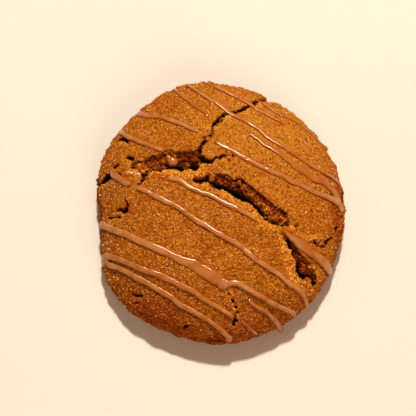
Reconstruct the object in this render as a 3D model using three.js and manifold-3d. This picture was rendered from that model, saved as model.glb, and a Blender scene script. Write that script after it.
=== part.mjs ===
// A churro cookie: one thick, domed, soft-baked round whose sugared crust split open as it rose.
// The body is a ball of even triangles laid over the dome's profile. Each crack is a closed cutter, drawn
// as two banks in plan and sunk into the crust, and all of them are taken out of the body.
// Millimetres, +Z up. The origin is the middle of the flat underside, and +Y is away from the viewer.

import * as THREE from "three";
import { mergeVertices } from "three/addons/utils/BufferGeometryUtils.js";
import Module from "manifold-3d";

// Driving dimensions of the round.
const meanRadius = 47.5; // of the widest ring, seen from above
const height = 29.5; // of the dome's top above the table
const rimHeight = 7; // of the widest ring
const footShare = 0.07; // of the radius, by which the underside is smaller than the widest ring
const topRoundness = 2.3; // the dome is a superellipse: flat-topped across,
const sideRoundness = 1.75; // and full at the shoulder
const bodyDetail = 14; // splits of the ball's twenty faces
const undersideDensity = 0.3; // triangles on the flat underside, against the same area of crust

// The outline isn't a true circle. Each wave has this many turns round the edge, and its crest at this angle.
const outlineWaves = [
  { turns: 1, size: 0.9, crest: -171 },
  { turns: 2, size: 1.45, crest: -81 },
  { turns: 3, size: 0.9, crest: -2 },
  { turns: 4, size: 0.4, crest: 37 },
  { turns: 5, size: 0.4, crest: 9 },
  { turns: 6, size: 0.45, crest: -23 },
  { turns: 7, size: 0.35, crest: 6 },
];

// Soft swells of the crust, as waves that cross it.
const swells = [
  { length: 31, size: 0.45, heading: 20, start: 0.6 },
  { length: 23, size: 0.35, heading: 75, start: 2.1 },
  { length: 17, size: 0.25, heading: 140, start: 4.0 },
  { length: 12, size: 0.15, heading: 105, start: 1.2 },
];

// A cutter starts this far above the crust, so that it is clear of the swells.
const cutterClearance = 6;
const crustThickness = 1.2; // a crack's walls are upright down to here
const tipDepthShare = 0.3; // of a rift's depth, left at its two ends
const floorGap = 0.12; // of a crack's width, which its floor keeps between the two banks
const leastFloor = 2.5; // above the table: a crack that runs out over the rim goes no lower

// Rifts: the wide cracks. The far bank drops to a sloping shelf of torn crumb, and the shelf to a deep slot
// under the near bank. A wall is steps of [share of the depth, share of the way across to the near bank].
// deepest is how far along the rift its deepest place lies, and slot is the stretch along it that has a slot:
// elsewhere the shelf runs on to the near bank.
const shelfStep = 2; // of a wall: the shelf's edge, where the slot begins
const slotFade = 0.12; // of a rift's length, over which its slot opens or closes
const closedSlotDepth = 0.12; // of its full depth below the shelf, which a closed slot keeps
const rifts = [
  {
    depth: 10,
    deepest: 0.75,
    slot: [0.45, 1],
    undercut: 1.2,
    wall: [[0, 0], [0.14, 0.1], [0.42, 0.62], [0.7, 0.72], [1, 0.85]],
    far: [
      [-32, 14.6], [-31, 16.2], [-29, 16.9], [-27.2, 16.6], [-25.6, 17.9], [-23.2, 18.6], [-21.5, 18],
      [-20, 19.2], [-17.5, 19.6], [-15.8, 18.9], [-13.6, 19.3], [-11.5, 18.8], [-9.8, 19.5], [-8.2, 18.9],
      [-6.9, 20.1], [-5.9, 19], [-5.6, 17.2], [-4.9, 16.8], [-4.2, 16.1], [-2.6, 15.9], [-0.6, 15.7],
    ],
    near: [
      [-32, 14], [-30.6, 13.2], [-29.2, 12.6], [-28.2, 11.4], [-27.6, 10], [-26.6, 9.3], [-25.6, 9.9],
      [-24.9, 11.2], [-23.4, 12], [-21.7, 11.5], [-20.2, 11.4], [-18.4, 12.4], [-16.2, 12.5], [-14.6, 11.9],
      [-13, 11.1], [-11.6, 11.9], [-10.2, 12.2], [-8.6, 11.5], [-7.2, 10.9], [-6.9, 12.2], [-6, 13.6],
      [-4.9, 14.6], [-3.9, 14.3], [-2.9, 13.7], [-1.9, 13.5], [-1.3, 14.6], [-0.6, 15.3],
    ],
  },
  {
    depth: 12,
    deepest: 0.35,
    slot: [0, 0.7],
    undercut: 1.6,
    wall: [[0, 0], [0.1, 0.08], [0.2, 0.56], [0.6, 0.66], [1, 0.8]],
    far: [
      [-9.2, 8.7], [-7.6, 9.5], [-6.2, 9.2], [-4.8, 8.9], [-3.8, 9.9], [-2.4, 10.3], [-1.6, 11],
      [-0.7, 10.2], [0.6, 10.9], [2, 10.8], [2.7, 9.9], [4.2, 9.9], [5, 9.2], [6.4, 8.8], [7.4, 9.1],
      [8.8, 8.9], [10, 7.7], [11.2, 6.9], [12.4, 5.8], [13.6, 4.9], [14.6, 3.8], [16, 3.1], [16.8, 2],
      [18.4, 0.9], [20, 0.1], [21, -1.1], [22.6, -1.8], [24.4, -2.6], [25.3, -4], [25.5, -5.8],
      [26.2, -7], [25.9, -8.2],
    ],
    near: [
      [-9.2, 8.3], [-8.4, 7.2], [-6.6, 6.5], [-5, 6.5], [-3.6, 7.3], [-2.6, 6.2], [-1.8, 5.2], [-0.4, 4.1],
      [1.2, 3.9], [2.8, 4], [4.2, 2.9], [5.6, 1.6], [7.2, 0.5], [8.6, -0.1], [10.2, -0.5], [11.6, -0.9],
      [12.8, -2.2], [14, -3.4], [14.9, -4.2], [15.4, -5.5], [16.4, -6.4], [17.6, -7.1], [19.4, -7.9],
      [21.2, -8.6], [23, -8.9], [24.6, -8.5], [25.7, -8.5],
    ],
  },
  {
    depth: 8,
    deepest: 0.4,
    slot: [0, 0.65],
    undercut: 0.8,
    wall: [[0, 0], [0.2, 0.1], [0.4, 0.56], [0.7, 0.66], [1, 0.8]],
    far: [
      [22.3, -9.9], [23.8, -10.9], [25.2, -12.1], [26.8, -13.4], [28.2, -14.4], [28.4, -16.2], [29.6, -17.8],
      [31.4, -18.9], [32.8, -20.2], [33.6, -21.8], [34.8, -23.4], [35.6, -25], [35, -26.8], [34.4, -28.4],
    ],
    near: [
      [22.2, -10.4], [23, -12], [23.9, -13.4], [24.6, -14.4], [25, -16.4], [26.1, -17.1], [26.3, -18.9],
      [27.4, -20.3], [27.9, -21.8], [27.3, -23.4], [28.2, -25], [29.2, -26.2], [30.4, -27.3], [31.6, -27.6],
      [32.9, -27.2], [33.8, -28.5],
    ],
  },
];

// Splits: the narrow cracks and torn holes, each a centre line of [x, y, width].
const splits = [
  // The long split from the west rift to the notch in the rim.
  [[-6.2, 18, 0.9], [-6.2, 19.8, 1.1], [-5.3, 21.3, 0.9], [-4.6, 22.6, 1.6], [-3.9, 23.6, 2.2],
    [-2.6, 24.6, 1.2], [-1.9, 25.8, 1.3], [-2.1, 27.2, 0.7], [-1.6, 28.9, 1.1], [-0.6, 30.2, 1.7],
    [0.6, 31.2, 2.4], [1.6, 32.4, 1.9], [2.4, 33.6, 1.2], [4, 34.1, 0.7], [5.4, 34.2, 0.9], [7.2, 35, 0.9],
    [8.6, 35.5, 1.4], [9.6, 36.4, 1.7], [10.6, 37, 0.9], [12, 38.3, 0.8], [13.2, 39, 1.3], [14.2, 40, 0.9],
    [15.6, 40.4, 1], [16.9, 40.8, 1.7], [18.6, 41.6, 3], [20.6, 42.8, 4]],
  // A hole at the west rift's east end, through its shelf.
  [[-7.4, 18.2, 1], [-6.4, 16.8, 2.2], [-5.2, 15.6, 2.6], [-3.8, 15, 2], [-2.4, 14.8, 1.5], [-1.3, 15.2, 0.9]],
  // East of the west rift.
  [[-1.2, 16.1, 0.6], [0, 16.4, 1], [0.9, 15.8, 0.7], [1.6, 16.7, 0.5], [2.6, 17, 0.7], [4.2, 16.8, 0.4]],
  [[4.9, 17.4, 0.4], [5.6, 16.9, 0.6], [6.2, 16.4, 0.4]],
  [[3.9, 15.7, 0.4], [4.3, 15.2, 0.7], [4.7, 14.6, 0.4]],
  // The west rift's tail.
  [[-26.8, 9.9, 1.1], [-27.3, 8.6, 1], [-28.2, 7.5, 0.9], [-29.2, 6.9, 0.4]],
  // Holes and splits along the west edge.
  [[-47.5, 9.2, 1.4], [-45.4, 9.6, 0.9], [-43.8, 10, 1.2], [-42.4, 11, 2.4], [-41, 11.9, 3.2], [-39.8, 11.6, 2.4],
    [-39, 11, 0.7]],
  [[-37.2, 25.7, 0.6], [-36, 26, 1.1], [-34.7, 26, 1.3], [-33.8, 25.3, 1.6], [-33.2, 24.5, 1.6], [-32.7, 23.6, 0.6]],
  [[-33.6, 18.5, 0.6], [-32.6, 18.1, 1.5], [-31.4, 17.6, 1.2], [-30.3, 16.9, 0.5]],
  [[-39, 15.3, 0.4], [-37.9, 15.1, 0.9], [-36.8, 15.9, 0.8], [-36.2, 16.5, 0.4]],
  [[-36.8, 12.3, 0.4], [-36, 12.1, 0.8], [-35.3, 11.7, 0.4]],
  [[-34.1, 2.6, 0.4], [-33.2, 1.6, 0.6], [-32.7, 0.4, 0.7], [-33, -0.9, 1.6], [-33.8, -2, 2.2], [-34.3, -3.1, 0.8]],
  [[-39, -1.2, 0.4], [-37, -1.3, 0.6], [-35.6, -0.9, 0.9], [-34.7, -1, 1]],
  [[-40.8, -3.2, 0.5], [-39.2, -3.4, 0.7], [-37.4, -3.1, 0.6], [-36.2, -3.8, 0.9], [-35, -3.6, 0.5]],
  // Small tears low on the west side.
  [[-32, -31.4, 0.4], [-30, -31.9, 0.7], [-28.4, -32.3, 0.6], [-27.2, -32.2, 0.3]],
  [[-30.8, -34.5, 0.4], [-29.8, -34.4, 0.7], [-28.8, -34, 0.4]],
  [[-13.2, -43.4, 0.3], [-12.3, -43.1, 0.6], [-10.6, -42.9, 0.3]],
  // East edge.
  [[26.8, -8.6, 0.3], [27.8, -8.2, 0.6], [28.7, -7.8, 0.3]],
  [[32, -14.8, 0.5], [33.4, -14, 0.8], [34.6, -13.2, 0.8], [35.4, -14.2, 1], [36.6, -15.1, 0.8], [38, -14.6, 0.8],
    [38.8, -13.2, 1.1], [39.6, -12.1, 0.8], [41.2, -11, 0.4]],
  [[42.8, -6.7, 0.5], [42.5, -7.8, 1.1], [42.1, -8.9, 0.5]],
  // Two deep holes in the floor of the south-east rift.
  [[28.9, -24.6, 1.2], [30.4, -25.4, 2.6], [31.6, -25, 2], [32.9, -24.4, 1]],
  [[32.9, -25, 0.8], [33.8, -26.2, 1.4], [34.1, -27.4, 1.4], [33.9, -28.5, 0.8]],
  // The south split, a chain of small tears.
  [[3.6, -30.6, 0.5], [3.9, -31.8, 0.8], [4.1, -32.8, 0.9], [4.9, -33.6, 0.5], [5.3, -34.9, 0.8], [6, -36, 0.5],
    [6.4, -37, 0.8], [6.8, -38.4, 0.6], [6.6, -39.2, 0.8], [6, -40, 0.8], [6.1, -41.2, 1.2], [5.3, -42.4, 0.8],
    [5, -43.2, 0.4]],
];
const splitWall = [[0, 0], [0.7, 0.3], [1, 1]];
const splitOpening = 0.5; // added to each width, for what the rounding of the torn edges takes back
const splitDepthPerWidth = 3.2;
const splitLeastDepth = 1.4;

/** The radius of the widest ring at an angle round the edge. */
function outlineRadius(angle) {
  return outlineWaves.reduce(
    (radius, { turns, size, crest }) =>
      radius + size * Math.cos(turns * (angle - THREE.MathUtils.degToRad(crest))),
    meanRadius,
  );
}

/** The crust's soft unevenness at a place in plan. */
function swellAt(x, y) {
  return swells.reduce((sum, { length, size, heading, start }) => {
    const along = THREE.MathUtils.degToRad(heading);
    const travel = x * Math.cos(along) + y * Math.sin(along);
    return sum + size * Math.sin((2 * Math.PI * travel) / length + start);
  }, 0);
}

/** The dome's height at a share of the outline's radius. */
function domeHeight(share) {
  const fullness = Math.max(0, 1 - Math.min(share, 1) ** topRoundness) ** (1 / sideRoundness);
  return rimHeight + (height - rimHeight) * fullness;
}

/** The uncracked crust's height at a place in plan. */
function crustHeight(x, y) {
  const share = Math.hypot(x, y) / outlineRadius(Math.atan2(y, x));
  return domeHeight(share) + (swellAt(x, y) * domeHeight(share)) / height;
}

/** The round's profile from the top's middle, down over the rim and back in to the underside's middle. */
function profilePoints(stepsEach) {
  const points = [];
  for (let i = 0; i <= stepsEach; i++) {
    const turn = ((Math.PI / 2) * i) / stepsEach;
    const share = Math.sin(turn) ** (2 / topRoundness);
    points.push({ share, z: domeHeight(share), density: 1 });
  }
  for (let i = 1; i <= stepsEach; i++) {
    const turn = ((Math.PI / 2) * i) / stepsEach;
    points.push({ share: 1 - footShare * (1 - Math.cos(turn)), z: rimHeight * (1 - Math.sin(turn)), density: 1 });
  }
  for (let i = 1; i <= stepsEach; i++) {
    points.push({ share: (1 - footShare) * (1 - i / stepsEach), z: 0, density: undersideDensity });
  }
  return points;
}

/** A lookup from a share of the whole surface, counted from the top, to the profile's point there. */
function profileByArea() {
  const points = profilePoints(120);
  const reached = [0];
  for (let i = 1; i < points.length; i++) {
    const [a, b] = [points[i - 1], points[i]];
    const run = Math.hypot((b.share - a.share) * meanRadius, b.z - a.z);
    reached.push(reached[i - 1] + (b.density * run * (a.share + b.share)) / 2);
  }
  const whole = reached.at(-1);
  return (areaShare) => {
    const wanted = Math.min(Math.max(areaShare, 0), 1) * whole;
    let i = 1;
    while (i < points.length - 1 && reached[i] < wanted) i++;
    const mix = (wanted - reached[i - 1]) / (reached[i] - reached[i - 1] || 1);
    const [a, b] = [points[i - 1], points[i]];
    return {
      share: THREE.MathUtils.lerp(a.share, b.share, mix),
      z: THREE.MathUtils.lerp(a.z, b.z, mix),
    };
  };
}

/** The uncracked round: a ball of even triangles, its vertices moved onto the profile. */
function roundGeometry() {
  const ball = new THREE.IcosahedronGeometry(1, bodyDetail);
  const positions = ball.getAttribute("position");
  const pointAt = profileByArea();
  for (let i = 0; i < positions.count; i++) {
    const [bx, by, bz] = [positions.getX(i), positions.getY(i), positions.getZ(i)];
    const angle = Math.atan2(by, bx);
    const { share, z } = pointAt((1 - bz) / 2);
    const radius = share * outlineRadius(angle);
    const [x, y] = [radius * Math.cos(angle), radius * Math.sin(angle)];
    positions.setXYZ(i, x, y, z + (swellAt(x, y) * z) / height);
  }
  return ball;
}

/** A closed solid through a stack of outlines that have equally many points, the first on top. */
function stackedGeometry(levels) {
  const count = levels[0].length;
  const plan = levels[0].map(([x, y]) => new THREE.Vector2(x, y));
  const cap = THREE.ShapeUtils.triangulateShape(plan, []);
  const anticlockwise = THREE.ShapeUtils.area(plan) > 0;
  const faces = [];
  const addFace = (a, b, c) => faces.push(...(anticlockwise ? [a, b, c] : [a, c, b]));
  const lowest = (levels.length - 1) * count;
  for (const [a, b, c] of cap) {
    const upward = THREE.ShapeUtils.area([plan[a], plan[b], plan[c]]) > 0 === anticlockwise;
    const [first, second] = upward ? [b, c] : [c, b];
    addFace(a, first, second);
    addFace(lowest + a, lowest + second, lowest + first);
  }
  for (let level = 0; level < levels.length - 1; level++) {
    for (let i = 0; i < count; i++) {
      const next = (i + 1) % count;
      const [top, topNext] = [level * count + i, level * count + next];
      addFace(top, top + count, topNext);
      addFace(topNext, top + count, topNext + count);
    }
  }
  const geometry = new THREE.BufferGeometry();
  geometry.setAttribute("position", new THREE.Float32BufferAttribute(levels.flat(2), 3));
  geometry.setIndex(faces);
  return geometry;
}

/** Points at even steps along a bank. */
function evenPoints(bank, count) {
  const path = new THREE.CurvePath();
  for (let i = 1; i < bank.length; i++) {
    path.add(new THREE.LineCurve(new THREE.Vector2(...bank[i - 1]), new THREE.Vector2(...bank[i])));
  }
  return Array.from({ length: count }, (_, i) => path.getPointAt(i / (count - 1)));
}

/**
 * A crack's cutter. far and near hold the same number of points. At each step of the wall the two banks have
 * moved towards the floor line, which lies at this lean across the gap: 0.5 is its middle, and 1 the near bank.
 * closed gives, for each point along, how far the slot is shut there, from 0 to 1.
 */
function crackGeometry({ far, near, depths, wall, lean, undercut, closed }) {
  const cuts = depths.map((depth, i) => {
    const crust = Math.min(crustHeight(far[i].x, far[i].y), crustHeight(near[i].x, near[i].y));
    return Math.min(depth, crust - crustThickness - leastFloor);
  });
  const level = (sink, [drop, inward], step = 0) => {
    const place = (bank, other, ownShare) =>
      bank.map((point, i) => {
        const shut = step < shelfStep ? 0 : closed[i];
        const shelf = wall[Math.min(step, shelfStep)][0];
        const fall = THREE.MathUtils.lerp(drop, shelf + (drop - shelf) * closedSlotDepth, shut);
        const share = THREE.MathUtils.lerp(inward, 1, shut) * ownShare;
        const across = other[i].clone().sub(point);
        const under = fall * undercut * Math.sign(lean - 0.5);
        const outward = near[i].clone().sub(far[i]).normalize().multiplyScalar(under);
        const moved = point.clone().addScaledVector(across, share).add(outward);
        return [moved.x, moved.y, crustHeight(point.x, point.y) + sink - cuts[i] * fall];
      });
    const farRow = place(far, near, Math.max(0, lean - floorGap));
    const nearRow = place(near, far, Math.max(0, 1 - lean - floorGap));
    return [...farRow, ...nearRow.reverse()];
  };
  const lower = wall.map((stage, step) => level(-crustThickness, stage, step));
  return stackedGeometry([level(cutterClearance, [0, 0]), ...lower]);
}

/** The cutter of a rift, from its two banks. */
function riftGeometry({ far, near, depth, deepest, slot, undercut, wall }) {
  const count = Math.max(far.length, near.length);
  const [farPoints, nearPoints] = [evenPoints(far, count), evenPoints(near, count)];
  const [from, to] = slot;
  const closed = farPoints.map((_, i) => {
    const along = i / (count - 1);
    const opened = THREE.MathUtils.smoothstep(along, from - slotFade, from);
    return 1 - opened * (1 - THREE.MathUtils.smoothstep(along, to, to + slotFade));
  });
  const depths = farPoints.map((_, i) => {
    const along = i / (count - 1);
    const fromDeepest = along < deepest ? 1 - along / deepest : (along - deepest) / (1 - deepest);
    const fullness = Math.sqrt(Math.max(0, 1 - fromDeepest ** 2));
    return (depth - crustThickness) * (tipDepthShare + (1 - tipDepthShare) * fullness);
  });
  return crackGeometry({ far: farPoints, near: nearPoints, depths, wall, lean: 1, undercut, closed });
}

/** The cutter of a split, from its centre line and widths. */
function splitGeometry(line) {
  const centres = line.map(([x, y]) => new THREE.Vector2(x, y));
  const sides = centres.map((_, i) => {
    const before = centres[Math.max(i - 1, 0)];
    const after = centres[Math.min(i + 1, centres.length - 1)];
    const along = after.clone().sub(before).normalize();
    return new THREE.Vector2(-along.y, along.x).multiplyScalar((line[i][2] + splitOpening) / 2);
  });
  return crackGeometry({
    far: centres.map((centre, i) => centre.clone().add(sides[i])),
    near: centres.map((centre, i) => centre.clone().sub(sides[i])),
    depths: line.map(([, , width]) => splitLeastDepth + splitDepthPerWidth * width),
    wall: splitWall,
    lean: 0.5,
    undercut: 0,
    closed: line.map(() => 0),
  });
}

const wasm = await Module();
wasm.setup();

/** A closed geometry as a solid that can be joined and cut. */
function solidFrom(geometry) {
  const bare = geometry.clone();
  bare.deleteAttribute("normal");
  bare.deleteAttribute("uv");
  const merged = mergeVertices(bare, 1e-4);
  return new wasm.Manifold(
    new wasm.Mesh({
      numProp: 3,
      vertProperties: new Float32Array(merged.getAttribute("position").array),
      triVerts: new Uint32Array(merged.index.array),
    }),
  );
}

/** A solid back as a geometry, moved so that it is centred on the origin in plan and stands on z = 0. */
function centredGeometry(solid) {
  const { vertProperties, triVerts } = solid.getMesh();
  const geometry = new THREE.BufferGeometry();
  geometry.setAttribute("position", new THREE.BufferAttribute(new Float32Array(vertProperties), 3));
  geometry.setIndex(new THREE.BufferAttribute(new Uint32Array(triVerts), 1));
  geometry.computeBoundingBox();
  const { min, max } = geometry.boundingBox;
  geometry.translate(-(min.x + max.x) / 2, -(min.y + max.y) / 2, -min.z);
  geometry.computeVertexNormals();
  return geometry;
}

/** The round with every rift and split taken out of it. */
function cookieGeometry() {
  const cutters = [...rifts.map(riftGeometry), ...splits.map(splitGeometry)];
  const whole = solidFrom(roundGeometry());
  return centredGeometry(cutters.reduce((solid, cutter) => solid.subtract(solidFrom(cutter)), whole));
}

const bakedCrust = new THREE.MeshStandardMaterial({ color: 0xb8651f, roughness: 0.85, metalness: 0 });
const cookie = new THREE.Mesh(cookieGeometry(), bakedCrust);
cookie.name = "cookie";

const part = new THREE.Group();
part.add(cookie);

export default part;
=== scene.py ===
"""A churro cookie: a thick, cracked, cinnamon-sugared round under thin lines of caramel glaze.

The CAD body gives the cookie's size and its cracks. This script gives it a granular crust, torn crumb
inside the cracks, the drizzled glaze, the sugar and the loose crumbs. Sizes are in millimetres unless
a name says otherwise; Blender's own units are metres.
"""

from __future__ import annotations

import logging
import math
from dataclasses import dataclass, field
from enum import Enum

import bpy
import numpy as np
from mathutils import Matrix, Vector
from mathutils.bvhtree import BVHTree

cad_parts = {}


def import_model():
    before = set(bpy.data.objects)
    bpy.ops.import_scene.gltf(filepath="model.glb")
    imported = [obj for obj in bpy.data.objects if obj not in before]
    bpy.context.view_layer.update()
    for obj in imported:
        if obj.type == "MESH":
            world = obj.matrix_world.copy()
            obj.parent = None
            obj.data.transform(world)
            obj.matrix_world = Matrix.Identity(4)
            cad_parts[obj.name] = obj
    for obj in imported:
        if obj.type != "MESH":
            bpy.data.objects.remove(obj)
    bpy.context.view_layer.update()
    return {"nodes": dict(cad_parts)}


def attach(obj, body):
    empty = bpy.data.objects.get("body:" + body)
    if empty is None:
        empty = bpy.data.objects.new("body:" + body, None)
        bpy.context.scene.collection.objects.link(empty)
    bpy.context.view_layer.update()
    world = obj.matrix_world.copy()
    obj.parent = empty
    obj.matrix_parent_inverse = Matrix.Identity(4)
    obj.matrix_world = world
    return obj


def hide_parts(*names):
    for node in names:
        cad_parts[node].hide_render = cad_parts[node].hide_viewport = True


MM = 0.001
BODY = "root"
NODE = "cookie"
SEED = 20

log = logging.getLogger("cookie")

Array = np.ndarray
Span = tuple[float, float]
PlanPoint = tuple[float, float]
Place = tuple[float, float, float]
Colour = tuple[float, float, float]
Paint = tuple[float, float, float, float]
Stops = tuple[tuple[float, Paint], ...]
Socket = bpy.types.NodeSocket


class Slot(Enum):
    """Material slot names."""

    CRUST = "crust"
    GLAZE = "glaze"
    SUGAR = "sugar"


class Coat(Enum):
    """Names of the values that the body's mesh holds for its relief and its material."""

    CRUST = "crust"
    CRUMB = "crumb"
    BANK = "bank"
    # This coat is golden torn crumb on crack banks, partly its own colour and partly painted light where the
    # bank faces the light.
    RIM = "rim"
    # This coat is painted shade: near black mixed into the depths of cracks, narrow slits and steep crumb
    # walls.
    DEEP = "deep"
    FLOOR = "floor"
    SIDE = "side"


def srgb(red: int, green: int, blue: int) -> Paint:
    """A display colour of 0 to 255 as the linear colour that shaders take."""
    shares = (red / 255, green / 255, blue / 255)
    return (*(c / 12.92 if c <= 0.04045 else ((c + 0.055) / 1.055) ** 2.4 for c in shares), 1.0)


def smooth_step(low: float, high: float, values: Array) -> Array:
    """Values mapped from low..high to 0..1 with soft ends."""
    t = np.clip((values - low) / (high - low), 0.0, 1.0)
    return t * t * (3.0 - 2.0 * t)


# ---------------------------------------------------------------- meshes, selection and modifiers


def select_only(*pieces: bpy.types.Object) -> None:
    """Deselects everything, then selects these objects and makes the first one active.

    Args:
        pieces: the objects.
    """
    bpy.ops.object.select_all(action="DESELECT")
    for piece in pieces:
        piece.select_set(True)
    bpy.context.view_layer.objects.active = pieces[0]


def apply_modifier(piece: bpy.types.Object, kind: str, **settings: object) -> None:
    """Adds a modifier, sets it and applies it.

    Args:
        piece: the mesh object.
        kind: the modifier's type, such as "REMESH".
        settings: its settings by name.
    """
    select_only(piece)
    modifier = piece.modifiers.new(kind.lower(), kind)
    for name, value in settings.items():
        setattr(modifier, name, value)
    bpy.ops.object.modifier_apply(modifier=modifier.name)


def add_to_scene(name: str, data: bpy.types.ID) -> bpy.types.Object:
    """Makes an object and puts it in the scene.

    Args:
        name: its name.
        data: its mesh, curve, light or camera.

    Returns:
        The object.
    """
    piece = bpy.data.objects.new(name, data)
    bpy.context.scene.collection.objects.link(piece)
    return piece


def vectors(items: bpy.types.bpy_prop_collection, name: str) -> Array:
    """Reads one vector from each item of a mesh.

    Args:
        items: the items, such as its vertices.
        name: what is read, such as "co".

    Returns:
        The vectors, one to a row.
    """
    flat = np.empty(len(items) * 3, dtype=np.float32)
    items.foreach_get(name, flat)
    return flat.reshape(-1, 3).astype(np.float64)


def coordinates(mesh: bpy.types.Mesh) -> Array:
    """A mesh's vertices in millimetres."""
    return vectors(mesh.vertices, "co") / MM


def normals(mesh: bpy.types.Mesh) -> Array:
    """Which way a mesh's vertices face."""
    return vectors(mesh.vertex_normals, "vector")


def move_vertices(mesh: bpy.types.Mesh, points: Array) -> None:
    """Sets a mesh's vertices from points in millimetres."""
    mesh.vertices.foreach_set("co", (points * MM).astype(np.float32).ravel())
    mesh.update()


def rest_on_table(mesh: bpy.types.Mesh) -> None:
    """Lifts every vertex that is under the table back onto it.

    Args:
        mesh: the mesh.
    """
    points = coordinates(mesh)
    points[:, 2] = np.maximum(points[:, 2], 0.0)
    move_vertices(mesh, points)


def store_value(mesh: bpy.types.Mesh, name: str, values: Array) -> None:
    """Keeps one number for each vertex, for a material to read."""
    attribute = mesh.attributes.get(name) or mesh.attributes.new(name, "FLOAT", "POINT")
    attribute.data.foreach_set("value", values.astype(np.float32))


def store_group(piece: bpy.types.Object, name: str, values: Array, steps: int = 16) -> None:
    """Keeps one weight for each vertex, for a modifier to read, in a few even steps.

    Args:
        piece: the mesh object.
        name: the vertex group's name.
        values: the weights, from 0 to 1.
        steps: how many levels above zero they are rounded to.
    """
    group = piece.vertex_groups.get(name) or piece.vertex_groups.new(name=name)
    levels = np.rint(np.clip(values, 0.0, 1.0) * steps).astype(int)
    for level in range(1, steps + 1):
        group.add(np.flatnonzero(levels == level).tolist(), level / steps, "REPLACE")


def thin_to(piece: bpy.types.Object, most: int) -> None:
    """Thins a mesh where it is smoothest until it has no more than this many triangles.

    Args:
        piece: the mesh object.
        most: the most triangles that it may have.
    """
    piece.data.calc_loop_triangles()
    count = len(piece.data.loop_triangles)
    if count > most:
        apply_modifier(piece, "DECIMATE", decimate_type="COLLAPSE", ratio=most / count)


def fill_triangles(mesh: bpy.types.Mesh, points: Array, triangles: Array) -> None:
    """Fills an empty mesh with triangles.

    Args:
        mesh: the mesh.
        points: its vertices in millimetres.
        triangles: three vertex numbers to a row.
    """
    mesh.vertices.add(len(points))
    mesh.vertices.foreach_set("co", (points * MM).astype(np.float32).ravel())
    mesh.loops.add(triangles.size)
    mesh.loops.foreach_set("vertex_index", triangles.astype(np.int32).ravel())
    mesh.polygons.add(len(triangles))
    mesh.polygons.foreach_set("loop_start", np.arange(0, triangles.size, 3, dtype=np.int32))
    mesh.update(calc_edges=True)


def dress(piece: bpy.types.Object, material: bpy.types.Material) -> None:
    """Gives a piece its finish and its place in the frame.

    Args:
        piece: the piece.
        material: its finish.
    """
    piece.data.materials.clear()
    piece.data.materials.append(material)
    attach(piece, BODY)


def tree_of(piece: bpy.types.Object) -> BVHTree:
    """A search tree over an object's own mesh, in metres."""
    return BVHTree.FromObject(piece, bpy.context.evaluated_depsgraph_get())


def random_turns(count: int, rng: np.random.Generator) -> Array:
    """Turns in all directions alike.

    Args:
        count: how many.
        rng: the random numbers.

    Returns:
        The turns as rotation matrices.
    """
    quaternions = rng.normal(0.0, 1.0, (count, 4))
    w, x, y, z = (quaternions / np.linalg.norm(quaternions, axis=1)[:, None]).T
    rows = [
        [1 - 2 * (y * y + z * z), 2 * (x * y - w * z), 2 * (x * z + w * y)],
        [2 * (x * y + w * z), 1 - 2 * (x * x + z * z), 2 * (y * z - w * x)],
        [2 * (x * z - w * y), 2 * (y * z + w * x), 1 - 2 * (x * x + y * y)],
    ]
    return np.array(rows).transpose(2, 0, 1)


# ---------------------------------------------------------------- heights seen from above


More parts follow.
